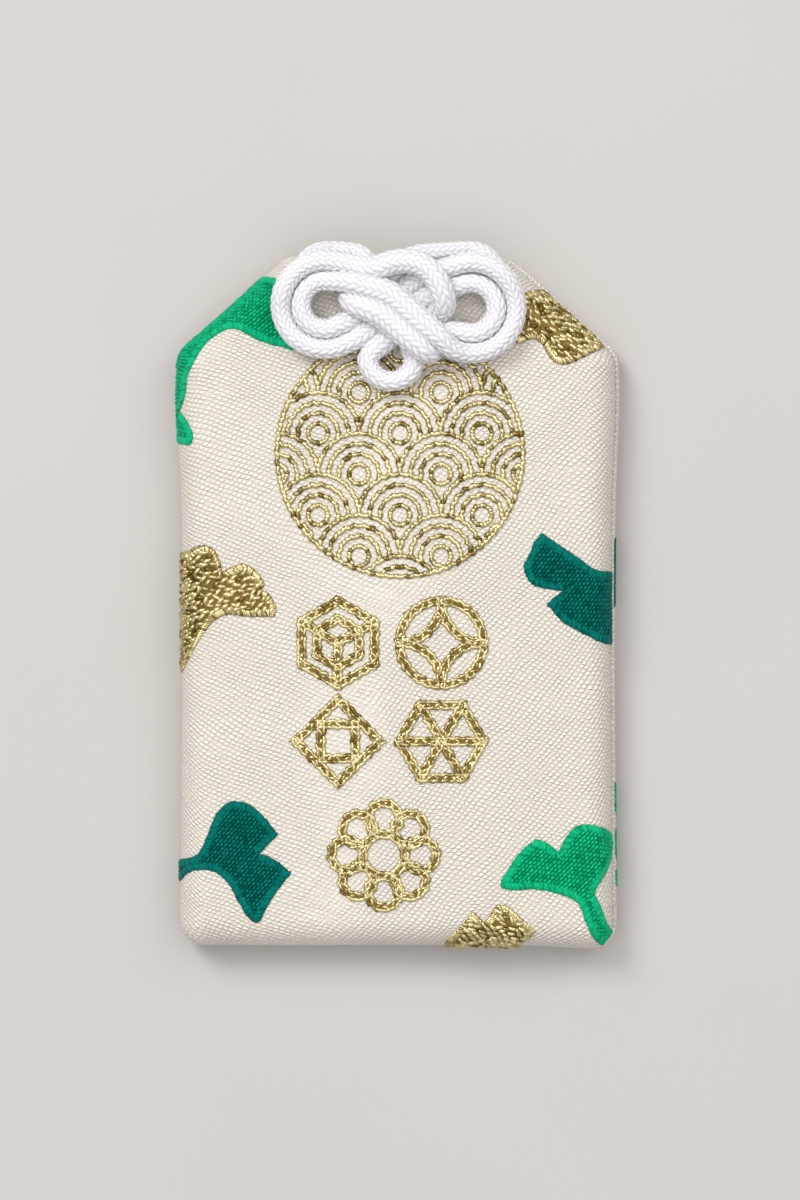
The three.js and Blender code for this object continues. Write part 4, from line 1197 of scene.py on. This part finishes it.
def within(shape, places):
    """Whether places lie inside a closed outline."""
    x, y = places.T
    inside = np.zeros(x.shape, dtype=bool)
    for (ax, ay), (bx, by) in zip(shape, np.roll(shape, -1, axis=0)):
        if ay != by:
            inside ^= ((ay > y) != (by > y)) & (x < (bx - ax) * (y - ay) / (by - ay) + ax)
    return inside


def well_within(shape, places, margin):
    """Whether places lie inside a closed outline, further than margin from its points."""
    keep = within(shape, places)
    keep[keep] &= np.min([np.hypot(*(places[keep] - point).T) for point in shape], axis=0) > margin
    return keep


def on_cloth(places):
    """Whether places on the flat cloth lie short of its edge."""
    return beyond(places, FRONT_EDGE, STRIP)[0] < EDGE_ALONG[-1] - LEAF_END


def leaf_ground(shape):
    """A thin layer of thread under the stitches, dark as painted shade in the pits between them."""
    low, high = shape.min(axis=0), shape.max(axis=0)
    x, y = np.meshgrid(np.arange(low[0], high[0], GROUND_STEP), np.arange(low[1], high[1], GROUND_STEP))
    inner = np.column_stack([x.ravel(), y.ravel()])
    inner = inner[well_within(shape, inner, GROUND_MARGIN)]
    places = [Vector(place) for place in np.vstack([shape, inner])]
    edges = [(index, (index + 1) % len(shape)) for index in range(len(shape))]
    flat, _, faces, *_ = geometry.delaunay_2d_cdt(places, edges, [], INSIDE_ONLY, CLOSEST)
    points = on_front(np.array([tuple(place) for place in flat]), LEAF_LIFT)
    return points, [face for face in faces if len(face) == 3], np.full(len(points), GROUND_SHADE_TONE)


def leaf_fill(shape, degrees, fill):
    """Rows of short stitches laid like bricks."""
    length = fill["stitch"][0]
    way = around((0, 0), 1, degrees)
    reach = np.ptp(shape, axis=0).max()
    across = np.arange(-reach, reach, fill["row"])
    along = np.arange(-reach, reach, length)
    rows, columns = np.meshgrid(across, along, indexing="ij")
    columns = columns + np.where(np.arange(len(rows)) % 2, length / 2, 0)[:, None]
    centres = shape.mean(axis=0) + rows.reshape(-1, 1) * left_of(way) + columns.reshape(-1, 1) * way
    centres += chance.normal(0, fill["wander"], centres.shape)
    centres = centres[well_within(shape, centres, FILL_MARGIN) & on_cloth(centres)]
    angles = math.radians(degrees) + np.radians(chance.normal(0, fill["turn"], len(centres)))
    sizes = varied(fill["stitch"], len(centres), vary=0.12)
    return stitches(centres, angles, sizes, LEAF_LIFT, fill["tones"])


def leaf_border(shape, tones):
    """Stitches across the edge of the leaf, close together."""
    side = left_of(unit(np.roll(shape, -1, axis=0) - np.roll(shape, 1, axis=0)))
    if within(shape, shape + side * LEAF_STEP / 2).mean() < 0.5:
        side = -side
    keep = on_cloth(shape)
    centres = (shape + side * BORDER_STITCH[0] * BORDER_INSET)[keep]
    angles = np.arctan2(side[:, 1], side[:, 0])[keep] + math.radians(BORDER_LEAN)
    angles += np.radians(chance.normal(0, BORDER_WANDER, len(angles)))
    return stitches(centres, angles, varied(BORDER_STITCH, len(centres), vary=0.1), BORDER_LIFT, tones)


# Edge of the back on the right, from the top of its fold round to its flat face. Parts of the back's own
# leaves show on it: for each, the stretches of Y where its tips reach the seam, with notches between them.
BACK_TIPS = {
    "leaf_teal_right": [(-0.4, 6.6)],
    "leaf_green_right": [(-29.5, -27.9), (-26.3, -23.9), (-21.8, -18.9)],
}
BACK_STITCH = (0.5, 0.29, 0.1)
BACK_LIFT = 0.03
BACK_START = 0.52
BACK_ROW = 0.26
BACK_ROWS = 12
NOTCH_ROWS = 6


def on_back_edge(places, lift):
    """Points lifted off the back's edge, from distances down its cloth and from Y."""
    seam = SEAM_HEIGHT - SEAM_GAP / 2
    rim = [(HALF_WIDTH - inset - more, seam + rise + rise_right) for inset, more, rise, rise_right in LIP]
    heights = seam * (1 - np.sqrt(1 - (1 - EDGE_FRACTIONS) ** 2))
    side = np.column_stack([HALF_WIDTH - BACK_EDGE * EDGE_FRACTIONS, heights])
    profile = even_line(np.vstack([rim, side]), FINE_STEP)
    index = np.clip(places[..., 0] / FINE_STEP, 0, len(profile) - 1).astype(int)
    x, z = np.moveaxis(profile[index], -1, 0)
    way_x, way_z = np.moveaxis(unit(np.gradient(profile, axis=0))[index], -1, 0)
    return np.stack([x - lift * way_z, places[..., 1], z + lift * way_x], axis=-1)


def back_leaf(tips):
    """Rows of stitches down the back's edge."""
    low, high = tips[0][0], tips[-1][1]
    notches = [((end + start) / 2, (start - end) / 2) for (_, end), (start, _) in zip(tips, tips[1:])]
    centres = []
    for row in range(BACK_ROWS):
        heights = np.arange(low, high, BACK_STITCH[0]) + BACK_STITCH[0] / 2 * (row % 2)
        keep = np.abs(heights - (low + high) / 2) < (high - low) / 2 * math.sqrt(1 - (row / BACK_ROWS) ** 2)
        for middle, half in notches:
            keep &= np.abs(heights - middle) > half * (1 - row / NOTCH_ROWS)
        centres += [(BACK_START + row * BACK_ROW, y) for y in heights[keep]]
    centres = np.array(centres)
    angles = np.radians(90 + chance.normal(0, BORDER_WANDER, len(centres)))
    sizes = varied(BACK_STITCH, len(centres), vary=0.1)
    return stitches(centres, angles, sizes, BACK_LIFT, SILK_TONES, on_back_edge)


def add_leaves():
    for node, (material, slot, degrees, points) in LEAVES.items():
        shape = leaf_outline(points)
        fill = GOLD_FILL if material is GOLD else SILK_FILL
        parts = [leaf_ground(shape), leaf_fill(shape, degrees, fill), leaf_border(shape, fill["tones"])]
        if node in BACK_TIPS:
            parts.append(back_leaf(BACK_TIPS[node]))
        add_embroidery(node.replace("leaf", "stitched_leaf"), parts, material, node)


add_leaves()


# Inside the pouch

# How far from the outline the front lining begins, and the waves of the back one
LINING_START = 0.95
LINING_WAVES = 0.02


def add_inner_pieces():
    def lining_height(x, y):
        return front_height(x, y) - PANEL - LAYER_GAP

    rings, cloth = sheet_rings(FRONT_EDGE, STRIP, lining_height, start=LINING_START)
    front = add_sheet("front_lining_cloth", rings, cloth, LINING, LINING_CLOTH, "front_lining")

    def floor_height(x, y):
        return PANEL + LAYER_GAP + LINING_WAVES * np.sin(x) * np.sin(y)

    rings, cloth = sheet_rings(BACK_EDGE + 1, STRIP, floor_height, start=BACK_EDGE)
    back = add_sheet("back_lining_cloth", rings, cloth, LINING, LINING_CLOTH, "back_lining", up=False)
    for node, material in (("stiffener_card", CARD), ("talisman_wrapper", PAPER), ("talisman_slip", CEDAR)):
        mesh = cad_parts[node].data
        mesh.materials.clear()
        mesh.materials.append(material)


# Padding: how far from the outline its rim and its flat edges lie, how high the rim is above its underside,
# how far it stays below the lining, and the sizes of its rings
PADDING_RIM = 4.4
PADDING_EDGE = 5.0
PADDING_RISE = 0.2
PADDING_ROOM = 0.05
PADDING_SCALES = np.linspace(1, 0.03, 20)


def add_padding():
    bottom = CARD_TOP + LAYER_GAP
    rim = outline(PADDING_RIM, STRIP)
    edge = outline(PADDING_EDGE, STRIP)
    under = [np.column_stack([edge * scale, np.full(len(edge), bottom)]) for scale in PADDING_SCALES]
    rings = [*under[::-1], np.column_stack([rim, np.full(len(rim), bottom + PADDING_RISE)])]
    for scale in PADDING_SCALES:
        x, y = (edge * scale).T
        height = front_height(x, y) - PANEL - LINING - 2 * LAYER_GAP - PADDING_ROOM
        rings.append(np.column_stack([x, y, height]))
    faces = closed_faces(len(rings), len(rim))
    piece = new_piece("cotton_padding", settle(np.vstack(rings)), faces, WADDING, replaces=["padding"])


add_inner_pieces()
add_padding()
